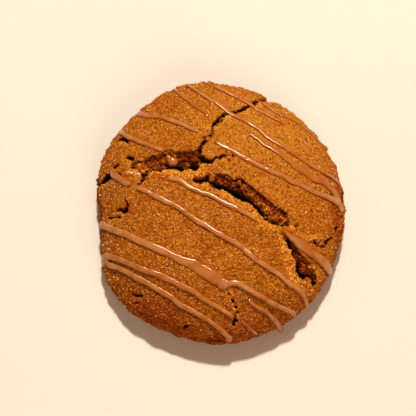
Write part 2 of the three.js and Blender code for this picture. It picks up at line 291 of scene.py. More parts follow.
@dataclass
class HeightMap:
    """Heights over the table on an even grid seen from above, in millimetres."""

    MARGIN = 4.0
    CLEARANCE = 10.0
    LAST_CELL = 1.001

    step: float
    low: PlanPoint
    heights: Array

    @classmethod
    def of(cls, piece: bpy.types.Object, step: float) -> HeightMap:
        """Reads the heights of an object's top by dropping rays on it.

        Args:
            piece: the object.
            step: the grid's step.

        Returns:
            The map, with a margin round the object. A ray that misses gives a height of zero.
        """
        points = coordinates(piece.data)
        low = points[:, :2].min(axis=0) - cls.MARGIN
        high = points[:, :2].max(axis=0) + cls.MARGIN
        columns, rows = (int(math.ceil(span / step)) + 1 for span in high - low)
        tree = tree_of(piece)
        down = Vector((0.0, 0.0, -1.0))
        top = (points[:, 2].max() + cls.CLEARANCE) * MM
        heights = np.zeros((rows, columns))
        for row in range(rows):
            y = (low[1] + row * step) * MM
            for column in range(columns):
                hit = tree.ray_cast(Vector(((low[0] + column * step) * MM, y, top)), down)[0]
                if hit is not None:
                    heights[row, column] = hit.z / MM
        return cls(step, (float(low[0]), float(low[1])), heights)

    def with_heights(self, heights: Array) -> HeightMap:
        """The same grid with other heights."""
        return HeightMap(self.step, self.low, heights)

    def at(self, x: Array | float, y: Array | float) -> Array:
        """Heights at places in plan, mixed between the grid's points.

        Args:
            x: the places' x.
            y: the places' y.

        Returns:
            The heights there.
        """
        rows, columns = self.heights.shape
        u = np.clip((np.asarray(x) - self.low[0]) / self.step, 0, columns - self.LAST_CELL)
        v = np.clip((np.asarray(y) - self.low[1]) / self.step, 0, rows - self.LAST_CELL)
        i, j = u.astype(int), v.astype(int)
        a, b = u - i, v - j
        h = self.heights
        near = h[j, i] * (1 - a) + h[j, i + 1] * a
        far = h[j + 1, i] * (1 - a) + h[j + 1, i + 1] * a
        return near * (1 - b) + far * b

    def _spread(self, heights: Array, reach: float, pick: np.ufunc) -> Array:
        """The highest or lowest height within reach of each grid point.

        Args:
            heights: the heights on this grid.
            reach: how far is looked.
            pick: np.maximum or np.minimum.

        Returns:
            The heights picked.
        """
        cells = int(round(reach / self.step))
        padded = np.pad(heights, cells, mode="edge")
        rows, columns = heights.shape
        best = heights.copy()
        for dy in range(-cells, cells + 1):
            half = int(math.sqrt(cells * cells - dy * dy))
            for dx in range(-half, half + 1):
                shifted = padded[cells + dy : cells + dy + rows, cells + dx : cells + dx + columns]
                best = pick(best, shifted)
        return best

    def closed(self, reach: float) -> HeightMap:
        """The map with every gap narrower than twice the reach filled level with its banks."""
        raised = self._spread(self.heights, reach, np.maximum)
        return self.with_heights(self._spread(raised, reach, np.minimum))

    def highest_within(self, reach: float) -> HeightMap:
        """The map with each height raised to the highest one in reach."""
        return self.with_heights(self._spread(self.heights, reach, np.maximum))

    def blurred(self, reach: float) -> HeightMap:
        """Smooths the map along each axis in turn.

        Args:
            reach: the blur's standard deviation.

        Returns:
            The smoothed map.
        """
        cells = max(1, int(round(reach / self.step)))
        tail = 2 * cells
        offsets = np.arange(-tail, tail + 1)
        weights = np.exp(-0.5 * (offsets / cells) ** 2)
        weights /= weights.sum()
        heights = self.heights
        for axis in (0, 1):
            pad = [(0, 0), (0, 0)]
            pad[axis] = (tail, tail)
            padded = np.pad(heights, pad, mode="edge")
            places = np.arange(heights.shape[axis])
            heights = sum(weight * np.take(padded, places + k, axis=axis) for k, weight in enumerate(weights))
        return self.with_heights(heights)

    def slope(self) -> tuple[HeightMap, HeightMap]:
        """How fast the height changes along x and along y, as two maps."""
        along_y, along_x = np.gradient(self.heights, self.step)
        return self.with_heights(along_x), self.with_heights(along_y)


# ---------------------------------------------------------------- materials


@dataclass(frozen=True)
class Spot:
    """A soft round region: its middle, its core's radius, how far it reaches, and its share at the core."""

    middle: Place
    core: float
    reach: float
    most: float


@dataclass
class NodeSheet:
    """A material's node tree, with short calls for the nodes that these finishes use."""

    name: str
    material: bpy.types.Material = field(init=False)
    nodes: bpy.types.Nodes = field(init=False)
    links: bpy.types.NodeLinks = field(init=False)
    shader: bpy.types.Node = field(init=False)
    place: Socket = field(init=False)

    def __post_init__(self) -> None:
        """Makes the material and finds its shader."""
        self.material = bpy.data.materials.new(self.name)
        self.material.use_nodes = True
        self.nodes = self.material.node_tree.nodes
        self.links = self.material.node_tree.links
        self.shader = self.nodes["Principled BSDF"]
        self.place = self.nodes.new("ShaderNodeTexCoord").outputs["Object"]

    def feed(self, socket: Socket, value: Socket | float | Paint) -> None:
        """Links another socket to this one, or sets this one to a fixed value.

        Args:
            socket: the input.
            value: the output that feeds it, or its fixed value.
        """
        if isinstance(value, bpy.types.NodeSocket):
            self.links.new(value, socket)
        else:
            socket.default_value = value

    def attribute(self, name: str) -> Socket:
        """A value that the mesh holds.

        Args:
            name: the attribute's name.

        Returns:
            The value's socket.
        """
        node = self.nodes.new("ShaderNodeAttribute")
        node.attribute_name = name
        return node.outputs["Fac"]

    def noise(self, size: float, detail: float = 3.0, roughness: float = 0.5) -> Socket:
        """Cloudy noise.

        Args:
            size: its features' size in millimetres.
            detail: how many finer layers it has.
            roughness: how strong those are.

        Returns:
            The noise's socket.
        """
        node = self.nodes.new("ShaderNodeTexNoise")
        self.feed(node.inputs["Vector"], self.place)
        self.feed(node.inputs["Scale"], 1.0 / (size * MM))
        self.feed(node.inputs["Detail"], detail)
        self.feed(node.inputs["Roughness"], roughness)
        return node.outputs["Fac"]

    def cells(self, size: float) -> bpy.types.Node:
        """Grain-like cells.

        Args:
            size: their size in millimetres.

        Returns:
            The node, with a colour for each cell and the distance to its middle.
        """
        node = self.nodes.new("ShaderNodeTexVoronoi")
        self.feed(node.inputs["Vector"], self.place)
        self.feed(node.inputs["Scale"], 1.0 / (size * MM))
        return node

    def ramp(self, value: Socket, stops: Stops) -> Socket:
        """A colour for each value.

        Args:
            value: the value.
            stops: two or more places from 0 to 1, each with its colour.

        Returns:
            The colour's socket.
        """
        node = self.nodes.new("ShaderNodeValToRGB")
        elements = node.color_ramp.elements
        while len(elements) < len(stops):
            elements.new(0.5)
        for element, (at, colour) in zip(elements, stops):
            element.position = at
            element.color = colour
        self.feed(node.inputs["Fac"], value)
        return node.outputs["Color"]

    def mix(self, share: Socket, first: Socket | Paint, second: Socket | Paint, blend: str = "MIX") -> Socket:
        """A mix of two colours.

        Args:
            share: how much of the second one there is, a socket or a fixed number.
            first: the colour underneath, a socket or a fixed colour.
            second: the colour on top, a socket or a fixed colour.
            blend: Blender's name for the way of mixing.

        Returns:
            The mixed colour's socket.
        """
        node = self.nodes.new("ShaderNodeMix")
        node.data_type = "RGBA"
        node.blend_type = blend
        sockets = [node.inputs[0], *(socket for socket in node.inputs if socket.type == "RGBA")]
        for socket, value in zip(sockets, (share, first, second)):
            self.feed(socket, value)
        return next(socket for socket in node.outputs if socket.type == "RGBA")

    def math(self, operation: str, first: Socket | float, second: Socket | float) -> Socket:
        """One operation on two values.

        Args:
            operation: Blender's name for it, such as "MULTIPLY".
            first: the first value, a socket or a fixed number.
            second: the second value, a socket or a fixed number.

        Returns:
            The result's socket.
        """
        node = self.nodes.new("ShaderNodeMath")
        node.operation = operation
        for socket, value in zip(node.inputs, (first, second)):
            self.feed(socket, value)
        return node.outputs[0]

    def span(self, value: Socket, source: Span, target: Span) -> Socket:
        """A value moved from one range to another, held inside it.

        Args:
            value: the value.
            source: the two ends it is moved from.
            target: the two ends it is moved to.

        Returns:
            The moved value's socket.
        """
        node = self.nodes.new("ShaderNodeMapRange")
        self.feed(node.inputs["Value"], value)
        for name, end in zip(("From Min", "From Max", "To Min", "To Max"), (*source, *target)):
            self.feed(node.inputs[name], end)
        return node.outputs["Result"]

    def bump(self, height: Socket, depth: float, strength: float, under: Socket | None = None) -> Socket:
        """A bump, over another one if one is given.

        Args:
            height: its height.
            depth: how deep it is in millimetres.
            strength: how much of it shows.
            under: the normal of the bump beneath.

        Returns:
            The normal's socket.
        """
        node = self.nodes.new("ShaderNodeBump")
        self.feed(node.inputs["Distance"], depth * MM)
        self.feed(node.inputs["Strength"], strength)
        self.feed(node.inputs["Height"], height)
        if under is not None:
            self.feed(node.inputs["Normal"], under)
        return node.outputs["Normal"]

    def around(self, spot: Spot) -> Socket:
        """How much of a soft round spot covers a place.

        Args:
            spot: the spot.

        Returns:
            The share's socket.
        """
        node = self.nodes.new("ShaderNodeVectorMath")
        node.operation = "DISTANCE"
        self.feed(node.inputs[0], self.place)
        self.feed(node.inputs[1], [c * MM for c in spot.middle])
        return self.span(node.outputs["Value"], (spot.reach * MM, spot.core * MM), (0.0, spot.most))

    def finish(
        self, colour: Socket, roughness: Socket | float, normal: Socket | None = None, **fixed: float
    ) -> bpy.types.Material:
        """Joins colour, roughness and normal to the shader and sets its fixed values.

        Args:
            colour: the base colour's socket.
            roughness: a socket or a number.
            normal: the normal's socket, if there is one.
            fixed: other inputs by name, with underscores for spaces.

        Returns:
            The material.
        """
        self.feed(self.shader.inputs["Base Color"], colour)
        self.feed(self.shader.inputs["Roughness"], roughness)
        if normal is not None:
            self.feed(self.shader.inputs["Normal"], normal)
        for name, value in fixed.items():
            self.feed(self.shader.inputs[name.replace("_", " ")], value)
        return self.material


@dataclass(frozen=True)
class BrowningAndShade:
    """Where the cookie is browned and painted darker: round its foot and in a few soft spots, in uneven
    drifts. It is partly browning from the oven and partly painted shade, on the lower sides and in the spots
    to the south-west, south and east, away from the light.
    """

    foot_height: float = 13.0
    foot_share: float = 0.75
    # These spots are painted shade as well as browning, on the sides away from the light.
    spots: tuple[Spot, ...] = (
        Spot((-23.0, -43.0, 8.0), 11.0, 25.0, 0.54),
        Spot((6.0, -50.0, 8.0), 10.0, 21.0, 0.38),
        Spot((52.0, -3.0, 6.0), 11.0, 19.0, 0.75),
    )
    drift_size: float = 3.5
    drift_tones: Span = (0.35, 0.65)
    drift_shares: Span = (0.62, 1.25)

    def share(self, sheet: NodeSheet) -> Socket:
        """How browned and painted dark a place is.

        Args:
            sheet: the material's nodes.

        Returns:
            The share's socket.
        """
        place = sheet.nodes.new("ShaderNodeSeparateXYZ")
        sheet.feed(place.inputs["Vector"], sheet.place)
        share = sheet.span(place.outputs["Z"], (0.0, self.foot_height * MM), (self.foot_share, 0.0))
        for spot in self.spots:
            share = sheet.math("MAXIMUM", share, sheet.around(spot))
        drifts = sheet.span(sheet.noise(self.drift_size), self.drift_tones, self.drift_shares)
        return sheet.math("MULTIPLY", share, drifts)


@dataclass(frozen=True)
class CrustFinish:
    """Browned, sugared crust, with torn crumb where the cracks open it, painted shade deep in the cracks and
    on their steep walls, and browning that is partly painted shade.
    """

    dark: Paint = srgb(122, 50, 0)
    brown: Paint = srgb(176, 98, 1)
    ochre: Paint = srgb(194, 121, 10)
    grain: Paint = srgb(216, 158, 78)
    # Browned colour that also stands for painted shade on the lower and shaded sides.
    toast_and_shade: Paint = srgb(205, 85, 0)
    golden: Paint = srgb(206, 145, 44)
    sole_dark: Paint = srgb(116, 52, 4)
    sole: Paint = srgb(158, 88, 18)
    crumb_dark: Paint = srgb(104, 24, 0)
    crumb: Paint = srgb(190, 100, 8)
    # Golden crumb for the banks that face the light: partly the crumb's own colour, partly painted light.
    rim_dark: Paint = srgb(202, 122, 18)
    rim: Paint = srgb(250, 188, 76)
    # Painted shade: the near black laid where cracks are deep, slits are narrow and crumb walls are steep.
    pit_shade: Paint = srgb(36, 5, 0)
    golden_spot: Spot = Spot((18.0, 30.0, 22.0), 10.0, 34.0, 0.55)
    grain_size: float = 0.66
    grain_depth: float = 0.22
    grit_size: float = 0.35
    grit_depth: float = 0.12
    patch_size: float = 9.0
    sole_patch_size: float = 3.0
    lump_size: float = 1.0
    speckle_share: float = 0.68
    roughness: Span = (0.5, 0.85)
    specular: float = 0.035

    def build(self) -> bpy.types.Material:
        """Makes the material.

        Returns:
            The material.
        """
        sheet = NodeSheet("browned_crust")
        cells = sheet.cells(self.grain_size)
        tone = sheet.nodes.new("ShaderNodeSeparateColor")
        sheet.feed(tone.inputs["Color"], cells.outputs["Color"])
        colour = self._crust(sheet, tone.outputs[0])
        lumps = sheet.noise(self.lump_size, detail=5.0, roughness=0.65)
        patches = sheet.noise(self.sole_patch_size, detail=6.0, roughness=0.7)
        for coat, cover in (
            (Coat.CRUMB, sheet.ramp(lumps, ((0.4, self.crumb_dark), (0.58, self.crumb)))),
            (Coat.RIM, sheet.ramp(lumps, ((0.36, self.rim_dark), (0.58, self.rim)))),
            # painted shade in the cracks' depths, slits and steep walls
            (Coat.DEEP, self.pit_shade),
            (Coat.FLOOR, sheet.ramp(patches, ((0.34, self.sole_dark), (0.66, self.sole)))),
        ):
            colour = sheet.mix(sheet.attribute(coat.value), colour, cover)
        grit = sheet.noise(self.grit_size, detail=4.0, roughness=0.7)
        grit = sheet.bump(grit, self.grit_depth, strength=0.6)
        domes = sheet.math("SUBTRACT", 1.0, cells.outputs["Distance"])
        normal = sheet.bump(domes, self.grain_depth, strength=0.7, under=grit)
        roughness = sheet.span(tone.outputs[1], (0.0, 1.0), self.roughness)
        return sheet.finish(colour, roughness, normal, Specular_IOR_Level=self.specular)

    def _crust(self, sheet: NodeSheet, tone: Socket) -> Socket:
        """The crust's colour: patches and speckle, golden in one spot, and browned in others, partly as
        painted shade.

        Args:
            sheet: the material's nodes.
            tone: a random value for each grain.

        Returns:
            The colour's socket.
        """
        patches = sheet.noise(self.patch_size, detail=4.0, roughness=0.6)
        base = sheet.ramp(patches, ((0.36, self.brown), (0.64, self.ochre)))
        grains = ((0.0, self.dark), (0.26, self.brown), (0.68, self.ochre), (1.0, self.grain))
        crust = sheet.mix(self.speckle_share, base, sheet.ramp(tone, grains))
        crust = sheet.mix(sheet.around(self.golden_spot), crust, self.golden)
        # Browning, partly painted shade, darkens the foot and the spots away from the light.
        return sheet.mix(BrowningAndShade().share(sheet), crust, self.toast_and_shade, "MULTIPLY")


@dataclass(frozen=True)
class GlazeFinish:
    """Set caramel glaze, smooth, and more see-through the thinner it is."""

    THICKNESS = "thickness"

    thin: Paint = srgb(174, 94, 12)
    deep: Paint = srgb(188, 116, 54)
    tan: Paint = srgb(204, 143, 86)
    clear_thicknesses: Span = (0.25, 0.95)
    patch_size: float = 4.0
    gloss_patch_size: float = 2.0
    gloss_tones: Span = (0.3, 0.7)
    roughness: Span = (0.1, 0.22)
    dimple_size: float = 0.9
    dimple_depth: float = 0.05
    specular: float = 0.36

    def build(self) -> bpy.types.Material:
        """Makes the material.

        Returns:
            The material.
        """
        sheet = NodeSheet("caramel_glaze")
        colour = sheet.ramp(sheet.noise(self.patch_size), ((0.35, self.deep), (0.6, self.tan)))
        cover = sheet.span(sheet.attribute(self.THICKNESS), self.clear_thicknesses, (0.0, 1.0))
        colour = sheet.mix(cover, self.thin, colour)
        gloss = sheet.noise(self.gloss_patch_size, detail=2.0)
        roughness = sheet.span(gloss, self.gloss_tones, self.roughness)
        normal = sheet.bump(sheet.noise(self.dimple_size, detail=2.0), self.dimple_depth, strength=0.15)
        return sheet.finish(colour, roughness, normal, Specular_IOR_Level=self.specular)


@dataclass(frozen=True)
class GrainFinish:
    """Sugar or crumb grains, each with a tone of its own that the mesh holds."""

    TONE = "tone"

    name: str
    stops: Stops
    roughness: float
    specular: float
    # Browned colour, partly painted shade, as on the crust.
    toast_and_shade: Paint = srgb(216, 150, 90)
    flaw_size: float = 0.2
    flaw_depth: float = 0.05

    def build(self) -> bpy.types.Material:
        """Makes the material.

        Returns:
            The material.
        """
        sheet = NodeSheet(self.name)
        colour = sheet.ramp(sheet.attribute(self.TONE), self.stops)
        # The grains take the same browning and painted shade as the crust.
        colour = sheet.mix(BrowningAndShade().share(sheet), colour, self.toast_and_shade, "MULTIPLY")
        normal = sheet.bump(sheet.noise(self.flaw_size, detail=2.0), self.flaw_depth, strength=0.3)
        return sheet.finish(colour, self.roughness, normal, Specular_IOR_Level=self.specular)


# ---------------------------------------------------------------- the cookie's body


@dataclass(frozen=True)
class Relief:
    """One layer of relief: a noise with a size, a height and the coat that it is for, if not for all."""

    name: str
    kind: str
    size: float
    height: float
    coat: Coat | None = None
    settings: dict[str, int] = field(default_factory=dict)
    middle: float = 0.5

    def carve(self, piece: bpy.types.Object) -> None:
        """Moves a piece's surface along its normals by this noise.

        Args:
            piece: the mesh object, which holds the coat as a vertex group.
        """
        texture = bpy.data.textures.new(self.name, self.kind)
        texture.noise_scale = self.size * MM
        for name, value in self.settings.items():
            setattr(texture, name, value)
        apply_modifier(
            piece,
            "DISPLACE",
            texture=texture,
            texture_coords="LOCAL",
            direction="NORMAL",
            mid_level=self.middle,
            strength=self.height * MM,
            vertex_group=self.coat.value if self.coat else "",
        )
        bpy.data.textures.remove(texture)


@dataclass(frozen=True)
class Lump:
    """Torn crumb that stands in a crack: its place in plan, how far its middle is sunk, and its radius."""

    x: float
    y: float
    sunk: float
    radius: float


@dataclass(frozen=True)
class Band:
    """A strip beside a crack where the crust is broken away and golden crumb shows, along points in plan.

    core and edge are the shares of its width, from its middle, where it starts to fade and where it ends.
    """

    points: tuple[PlanPoint, ...]
    width: float
    share: float = 1.0
    core: float = 0.25
    edge: float = 0.65

    def cover(self, x: Array, y: Array) -> Array:
        """How much of each place in plan this strip covers.

        Args:
            x: the places' x.
            y: the places' y.

        Returns:
            The cover there, from 0 to the strip's share.
        """
        nearest = np.full(len(x), np.inf)
        for (ax, ay), (bx, by) in zip(self.points, self.points[1:]):
            dx, dy = bx - ax, by - ay
            t = np.clip(((x - ax) * dx + (y - ay) * dy) / (dx * dx + dy * dy), 0.0, 1.0)
            nearest = np.minimum(nearest, np.hypot(x - ax - t * dx, y - ay - t * dy))
        return self.share * (1.0 - smooth_step(self.core * self.width, self.edge * self.width, nearest))


@dataclass(frozen=True)
class CrackRules:
    """What counts as a crack's wall, bank, rim and depths. Pairs are where a share starts and is full.

    rift_reach and slit_reach are half the widest gap that is a rift or a slit. The rest are grouped by the
    coat that they find.
    """

    map_step: float = 0.5
    rift_reach: float = 6.0
    slit_reach: float = 1.6
    open_gap: float = 0.7
    lowest_bank: float = 11.0
    steepness_blur: float = 1.0
    steepest: float = 2.2
    steepness_fade: float = 1.0

    wall_reach: float = 1.6
    wall_heights: Span = (8.0, 12.0)
    crumb_depths: Span = (0.3, 1.3)

    # The next five set the painted shade in cracks: how deep a crack or how narrow a slit is before near
    # black is painted in it, which steep crumb walls are painted darker and how much, and how much crumb
    # colour the painted shade hides.
    shade_depths: Span = (3.6, 6.8)
    slit_shade_depths: Span = (0.9, 2.6)
    wall_facings: Span = (0.35, 0.8)
    wall_shade: float = 0.4
    crumb_lost_in_shade: float = 0.85

    bank_blur: float = 0.9
    bank_nearness: Span = (0.08, 0.4)
    bank_depths: Span = (2.0, 4.0)
    slit_bank_reach: float = 0.8
    slit_bank_gaps: Span = (0.4, 1.2)
    slit_bank_loss: float = 0.75

    # The rim coat is golden crumb on the bank that faces the light, partly painted light.
    rim_gap: float = 2.0
    rim_blur: float = 1.3
    rim_nearness: Span = (0.06, 0.3)
    rim_share: float = 0.6
    rim_depths: Span = (2.5, 6.5)
    light_lean: float = 0.45
    lit_slopes: Span = (0.0, 0.1)

    floor_height: float = 0.25
    side_feet: Span = (0.3, 2.0)
    side_heads: Span = (10.0, 19.0)


@dataclass
class CrackMap:
    """The cookie's top seen from above, with its cracks told apart from its crust."""

    top: HeightMap
    rules: CrackRules
    uncracked: HeightMap = field(init=False)
    unslit: HeightMap = field(init=False)
    open_cracks: HeightMap = field(init=False)
    steepness: HeightMap = field(init=False)

    def __post_init__(self) -> None:
        """Closes the cracks to find where they are and how steep the crust round them is."""
        rules = self.rules
        self.uncracked = self.top.closed(rules.rift_reach)
        self.unslit = self.top.closed(rules.slit_reach)
        slopes = self.uncracked.blurred(rules.steepness_blur).slope()
        self.steepness = self.top.with_heights(np.hypot(*(slope.heights for slope in slopes)))
        is_bank = (self.uncracked.heights > rules.lowest_bank) & (self.steepness.heights < rules.steepest)
        is_open = self.uncracked.heights - self.top.heights > rules.open_gap
        self.open_cracks = self.top.with_heights((is_open & is_bank).astype(float))

    def wall(self, x: Array, y: Array, z: Array) -> Array:
        """How surely places are in or beside a crack and not on the cookie's own side.

        Args:
            x: the places' x.
            y: the places' y.
            z: the places' heights.

        Returns:
            The shares.
        """
        rules = self.rules
        beside = self.open_cracks.highest_within(rules.wall_reach).at(x, y)
        beside *= smooth_step(*rules.wall_heights, z)
        steepness = self.steepness.at(x, y)
        return beside * (1.0 - smooth_step(rules.steepest, rules.steepest + rules.steepness_fade, steepness))

    def bank(self, x: Array, y: Array, depth: Array) -> Array:
        """How much places are a crack's ragged bank, less at thin slits.

        Args:
            x: the places' x.
            y: the places' y.
            depth: how far the places are under the uncracked crust.

        Returns:
            The shares.
        """
        rules = self.rules
        near = smooth_step(*rules.bank_nearness, self.open_cracks.blurred(rules.bank_blur).at(x, y))
        bank = near * (1.0 - smooth_step(*rules.bank_depths, depth))
        gaps = self.top.with_heights(self.unslit.heights - self.top.heights)
        slits = gaps.highest_within(rules.slit_bank_reach).at(x, y)
        return bank * (1.0 - rules.slit_bank_loss * smooth_step(*rules.slit_bank_gaps, slits))

    def lit_rim(self, x: Array, y: Array) -> Array:
        """How much places are a wide crack's bank where it faces the light, golden and broken. The golden
        colour is laid only on this lit side, so it is partly the crumb's own colour and partly painted light.

        Args:
            x: the places' x.
            y: the places' y.

        Returns:
            The shares.
        """
        rules = self.rules
        wide = (self.uncracked.heights - self.top.heights > rules.rim_gap).astype(float)
        nearness = self.top.with_heights(wide * self.open_cracks.heights).blurred(rules.rim_blur)
        toward_x, toward_y = (slope.at(x, y) for slope in nearness.slope())
        lit = smooth_step(*rules.lit_slopes, rules.light_lean * toward_x + toward_y)
        return rules.rim_share * smooth_step(*rules.rim_nearness, nearness.at(x, y)) * lit


@dataclass
class BakedBody:
    """The cookie itself: crust, cracks and crumb, made from the CAD body."""

    source: bpy.types.Object
    grid: float = 0.36
    lump_map_step: float = 1.0
    most_triangles: int = 190000
    rules: CrackRules = CrackRules()
    bands: tuple[Band, ...] = (
        Band(((-20.6, 11.0), (-16.5, 11.2), (-13.0, 10.4), (-9.5, 10.2), (-6.6, 10.0), (-4.6, 12.6)), 3.0),
        Band(((-7.8, 6.4), (-4.6, 5.8), (-2.0, 4.3), (0.6, 2.9)), 1.6, 0.7),
        Band(((0.8, 3.0), (5.0, 0.6), (9.0, -1.8), (12.2, -4.2), (15.0, -7.2)), 1.6, 0.8),
        Band(((15.0, -7.8), (18.0, -9.0), (22.0, -10.2), (23.4, -12.6)), 2.6),
        Band(((23.2, -13.4), (24.2, -17.2), (25.4, -21.3), (26.4, -25.7), (28.8, -28.8), (32.4, -30.0)), 3.4),
        Band(((26.4, -9.0), (29.3, -10.8), (32.6, -12.6), (35.2, -12.0)), 2.6, 0.6),
        Band(((29.8, -19.4), (32.2, -21.4), (34.6, -23.6), (36.2, -26.0)), 2.0, 0.7),
        Band(((-31.6, 12.6), (-29.4, 11.0), (-27.6, 12.0)), 2.6, 0.7),
        Band(((-28.6, 15.2), (-26.0, 16.4)), 1.8, 0.7),
        Band(((-38.6, -2.4), (-36.4, -2.2)), 1.6, 0.6),
        Band(((3.2, -30.2), (3.9, -32.6), (5.2, -34.9), (6.4, -38.0), (5.8, -41.6)), 2.8, 0.55),
        Band(((-25.0, 14.4), (-21.5, 15.8), (-18.6, 16.6)), 4.0, 0.3),
        Band(((0.8, 11.5), (4.5, 9.9), (8.4, 7.0), (11.2, 3.9), (14.2, 0.6), (17.0, -3.3)), 1.2, 0.3),
        Band(((15.5, -2.2), (18.5, -4.2), (22.5, -6.6)), 4.6, 0.7),
    )
    lumps: tuple[Lump, ...] = (
        Lump(-3.6, 23.4, 1.3, 1.0), Lump(-2.4, 25.6, 1.6, 0.8), Lump(1.3, 31.6, 1.8, 1.0),
        Lump(-28.6, 13.8, 2.0, 1.9), Lump(-26.2, 12.4, 2.2, 1.7), Lump(-24.3, 14.6, 3.0, 1.6),
        Lump(-21.6, 13.4, 3.2, 1.5), Lump(-11.6, 14.2, 4.2, 1.4), Lump(5.6, 6.4, 3.8, 1.3),
        Lump(-2.6, 7.8, 0.9, 0.6), Lump(-1.9, 8.5, 1.0, 0.7), Lump(-2.4, 9.1, 1.2, 0.8),
        Lump(-1.3, 9.4, 0.9, 0.6), Lump(1.6, 10.2, 1.5, 0.9), Lump(4.2, 9.4, 1.9, 1.2),
        Lump(7.4, 7.2, 1.5, 0.8), Lump(9.4, 4.9, 2.1, 1.2), Lump(12.3, 2.5, 1.4, 0.8),
        Lump(14.3, -0.2, 2.0, 1.2), Lump(16.7, -2.4, 1.5, 0.8), Lump(33.4, -14.5, 1.0, 0.8),
        Lump(35.7, -15.1, 1.1, 0.8), Lump(12.2, 2.6, 3.8, 1.4), Lump(17.6, -2.6, 3.6, 1.7),
        Lump(21.0, -5.4, 2.8, 1.6), Lump(23.8, -6.6, 2.2, 1.4), Lump(28.2, -19.0, 2.6, 1.2),
        Lump(30.2, -20.6, 3.0, 1.3), Lump(31.9, -22.4, 2.8, 1.5), Lump(29.9, -23.0, 3.2, 1.2),
        Lump(33.8, -23.4, 2.2, 1.2), Lump(31.6, -26.6, 2.6, 1.2), Lump(3.8, -31.3, 0.5, 0.5),
        Lump(4.6, -33.3, 0.5, 0.6), Lump(5.9, -35.9, 0.5, 0.6), Lump(6.6, -37.9, 0.5, 0.55),
        Lump(6.3, -39.6, 0.5, 0.6), Lump(-29.4, -31.9, 0.4, 0.5), Lump(-31.6, 1.3, 1.4, 0.8),
        Lump(-39.6, -2.2, 0.9, 0.7), Lump(-37.4, -1.8, 1.2, 0.6),
    )
    reliefs: tuple[Relief, ...] = (
        Relief("swells", "CLOUDS", 7.0, 0.8, Coat.CRUST, {"noise_depth": 1}),
        Relief("knobs", "CLOUDS", 4.5, 1.5, Coat.SIDE, {"noise_depth": 1}),
        Relief("chips", "VORONOI", 2.6, -0.7, Coat.SIDE),
        Relief("pebbles", "CLOUDS", 1.8, 0.4, Coat.CRUST, {"noise_depth": 2}),
        Relief("grit", "VORONOI", 0.9, -0.3, Coat.CRUST),
        Relief("golden_lumps", "CLOUDS", 1.5, 1.0, Coat.RIM, {"noise_depth": 2}, 0.6),
        Relief("golden_pores", "VORONOI", 1.0, -0.6, Coat.RIM),
        Relief("bank_lumps", "CLOUDS", 1.7, 1.3, Coat.BANK, {"noise_depth": 2}),
        Relief("bank_teeth", "VORONOI", 1.3, -1.2, Coat.BANK),
        Relief("torn_lumps", "CLOUDS", 2.6, 1.6, Coat.CRUMB, {"noise_depth": 2}, 0.38),
        Relief("pores", "VORONOI", 1.3, -0.9, Coat.CRUMB),
        Relief("crumbs", "CLOUDS", 0.8, 0.8, Coat.CRUMB, {"noise_depth": 2}),
        Relief("sole_pores", "VORONOI", 2.0, -1.1, Coat.FLOOR),
    )
    piece: bpy.types.Object = field(init=False)
    uncracked: HeightMap = field(init=False)

    def build(self) -> bpy.types.Object:
        """Makes the body.

        Returns:
            The finished piece.
        """
        self.piece = add_to_scene("cookie_body", self.source.data.copy())
        self._merge_triangles()
        self._add_lumps()
        apply_modifier(self.piece, "REMESH", mode="VOXEL", voxel_size=self.grid * MM)
        self._mark_coats()
        apply_modifier(self.piece, "SMOOTH", factor=0.5, iterations=3, vertex_group=Coat.BANK.value)
        for relief in self.reliefs:
            relief.carve(self.piece)
        thin_to(self.piece, self.most_triangles)
        rest_on_table(self.piece.data)
        dress(self.piece, CrustFinish().build())
        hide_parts(NODE)
        self.piece.data.shade_smooth()
        return self.piece

    def _merge_triangles(self) -> None:
        """Merges the CAD's loose triangles into one skin."""
        select_only(self.piece)
        bpy.ops.object.mode_set(mode="EDIT")
        bpy.ops.mesh.select_all(action="SELECT")
        bpy.ops.mesh.remove_doubles(threshold=1e-6)
        bpy.ops.object.mode_set(mode="OBJECT")

    def _add_lumps(self) -> None:
        """Adds the torn lumps as balls, sunk from the uncracked crust's level, and joins them to the body."""
        crust = HeightMap.of(self.piece, self.lump_map_step).closed(self.rules.rift_reach)
        balls = []
        for lump in self.lumps:
            bpy.ops.object.select_all(action="DESELECT")
            level = float(crust.at(lump.x, lump.y)) - lump.sunk
            place = (lump.x * MM, lump.y * MM, level * MM)
            bpy.ops.mesh.primitive_ico_sphere_add(subdivisions=2, radius=lump.radius * MM, location=place)
            balls.append(bpy.context.active_object)
        select_only(self.piece, *balls)
        bpy.ops.object.join()

    def _mark_coats(self) -> None:
        """Finds how much each vertex is crust, crumb, bank, rim, painted shade, sole and side, and keeps it.
        """
        rules = self.rules
        cracks = CrackMap(HeightMap.of(self.piece, rules.map_step), rules)
        self.uncracked = cracks.uncracked
        x, y, z = coordinates(self.piece.data).T
        depth = cracks.uncracked.at(x, y) - z
        wall = cracks.wall(x, y, z)
        crumb = smooth_step(*rules.crumb_depths, depth) * wall
        # Painted shade: near black for deep parts of cracks, narrow slits and steep crumb walls, where shade
        # falls.
        slit = smooth_step(*rules.slit_shade_depths, cracks.unslit.at(x, y) - z)
        steep = 1.0 - smooth_step(*rules.wall_facings, normals(self.piece.data)[:, 2])
        deep = np.maximum(smooth_step(*rules.shade_depths, depth), slit) * wall
        deep = np.maximum(deep, rules.wall_shade * steep * crumb)
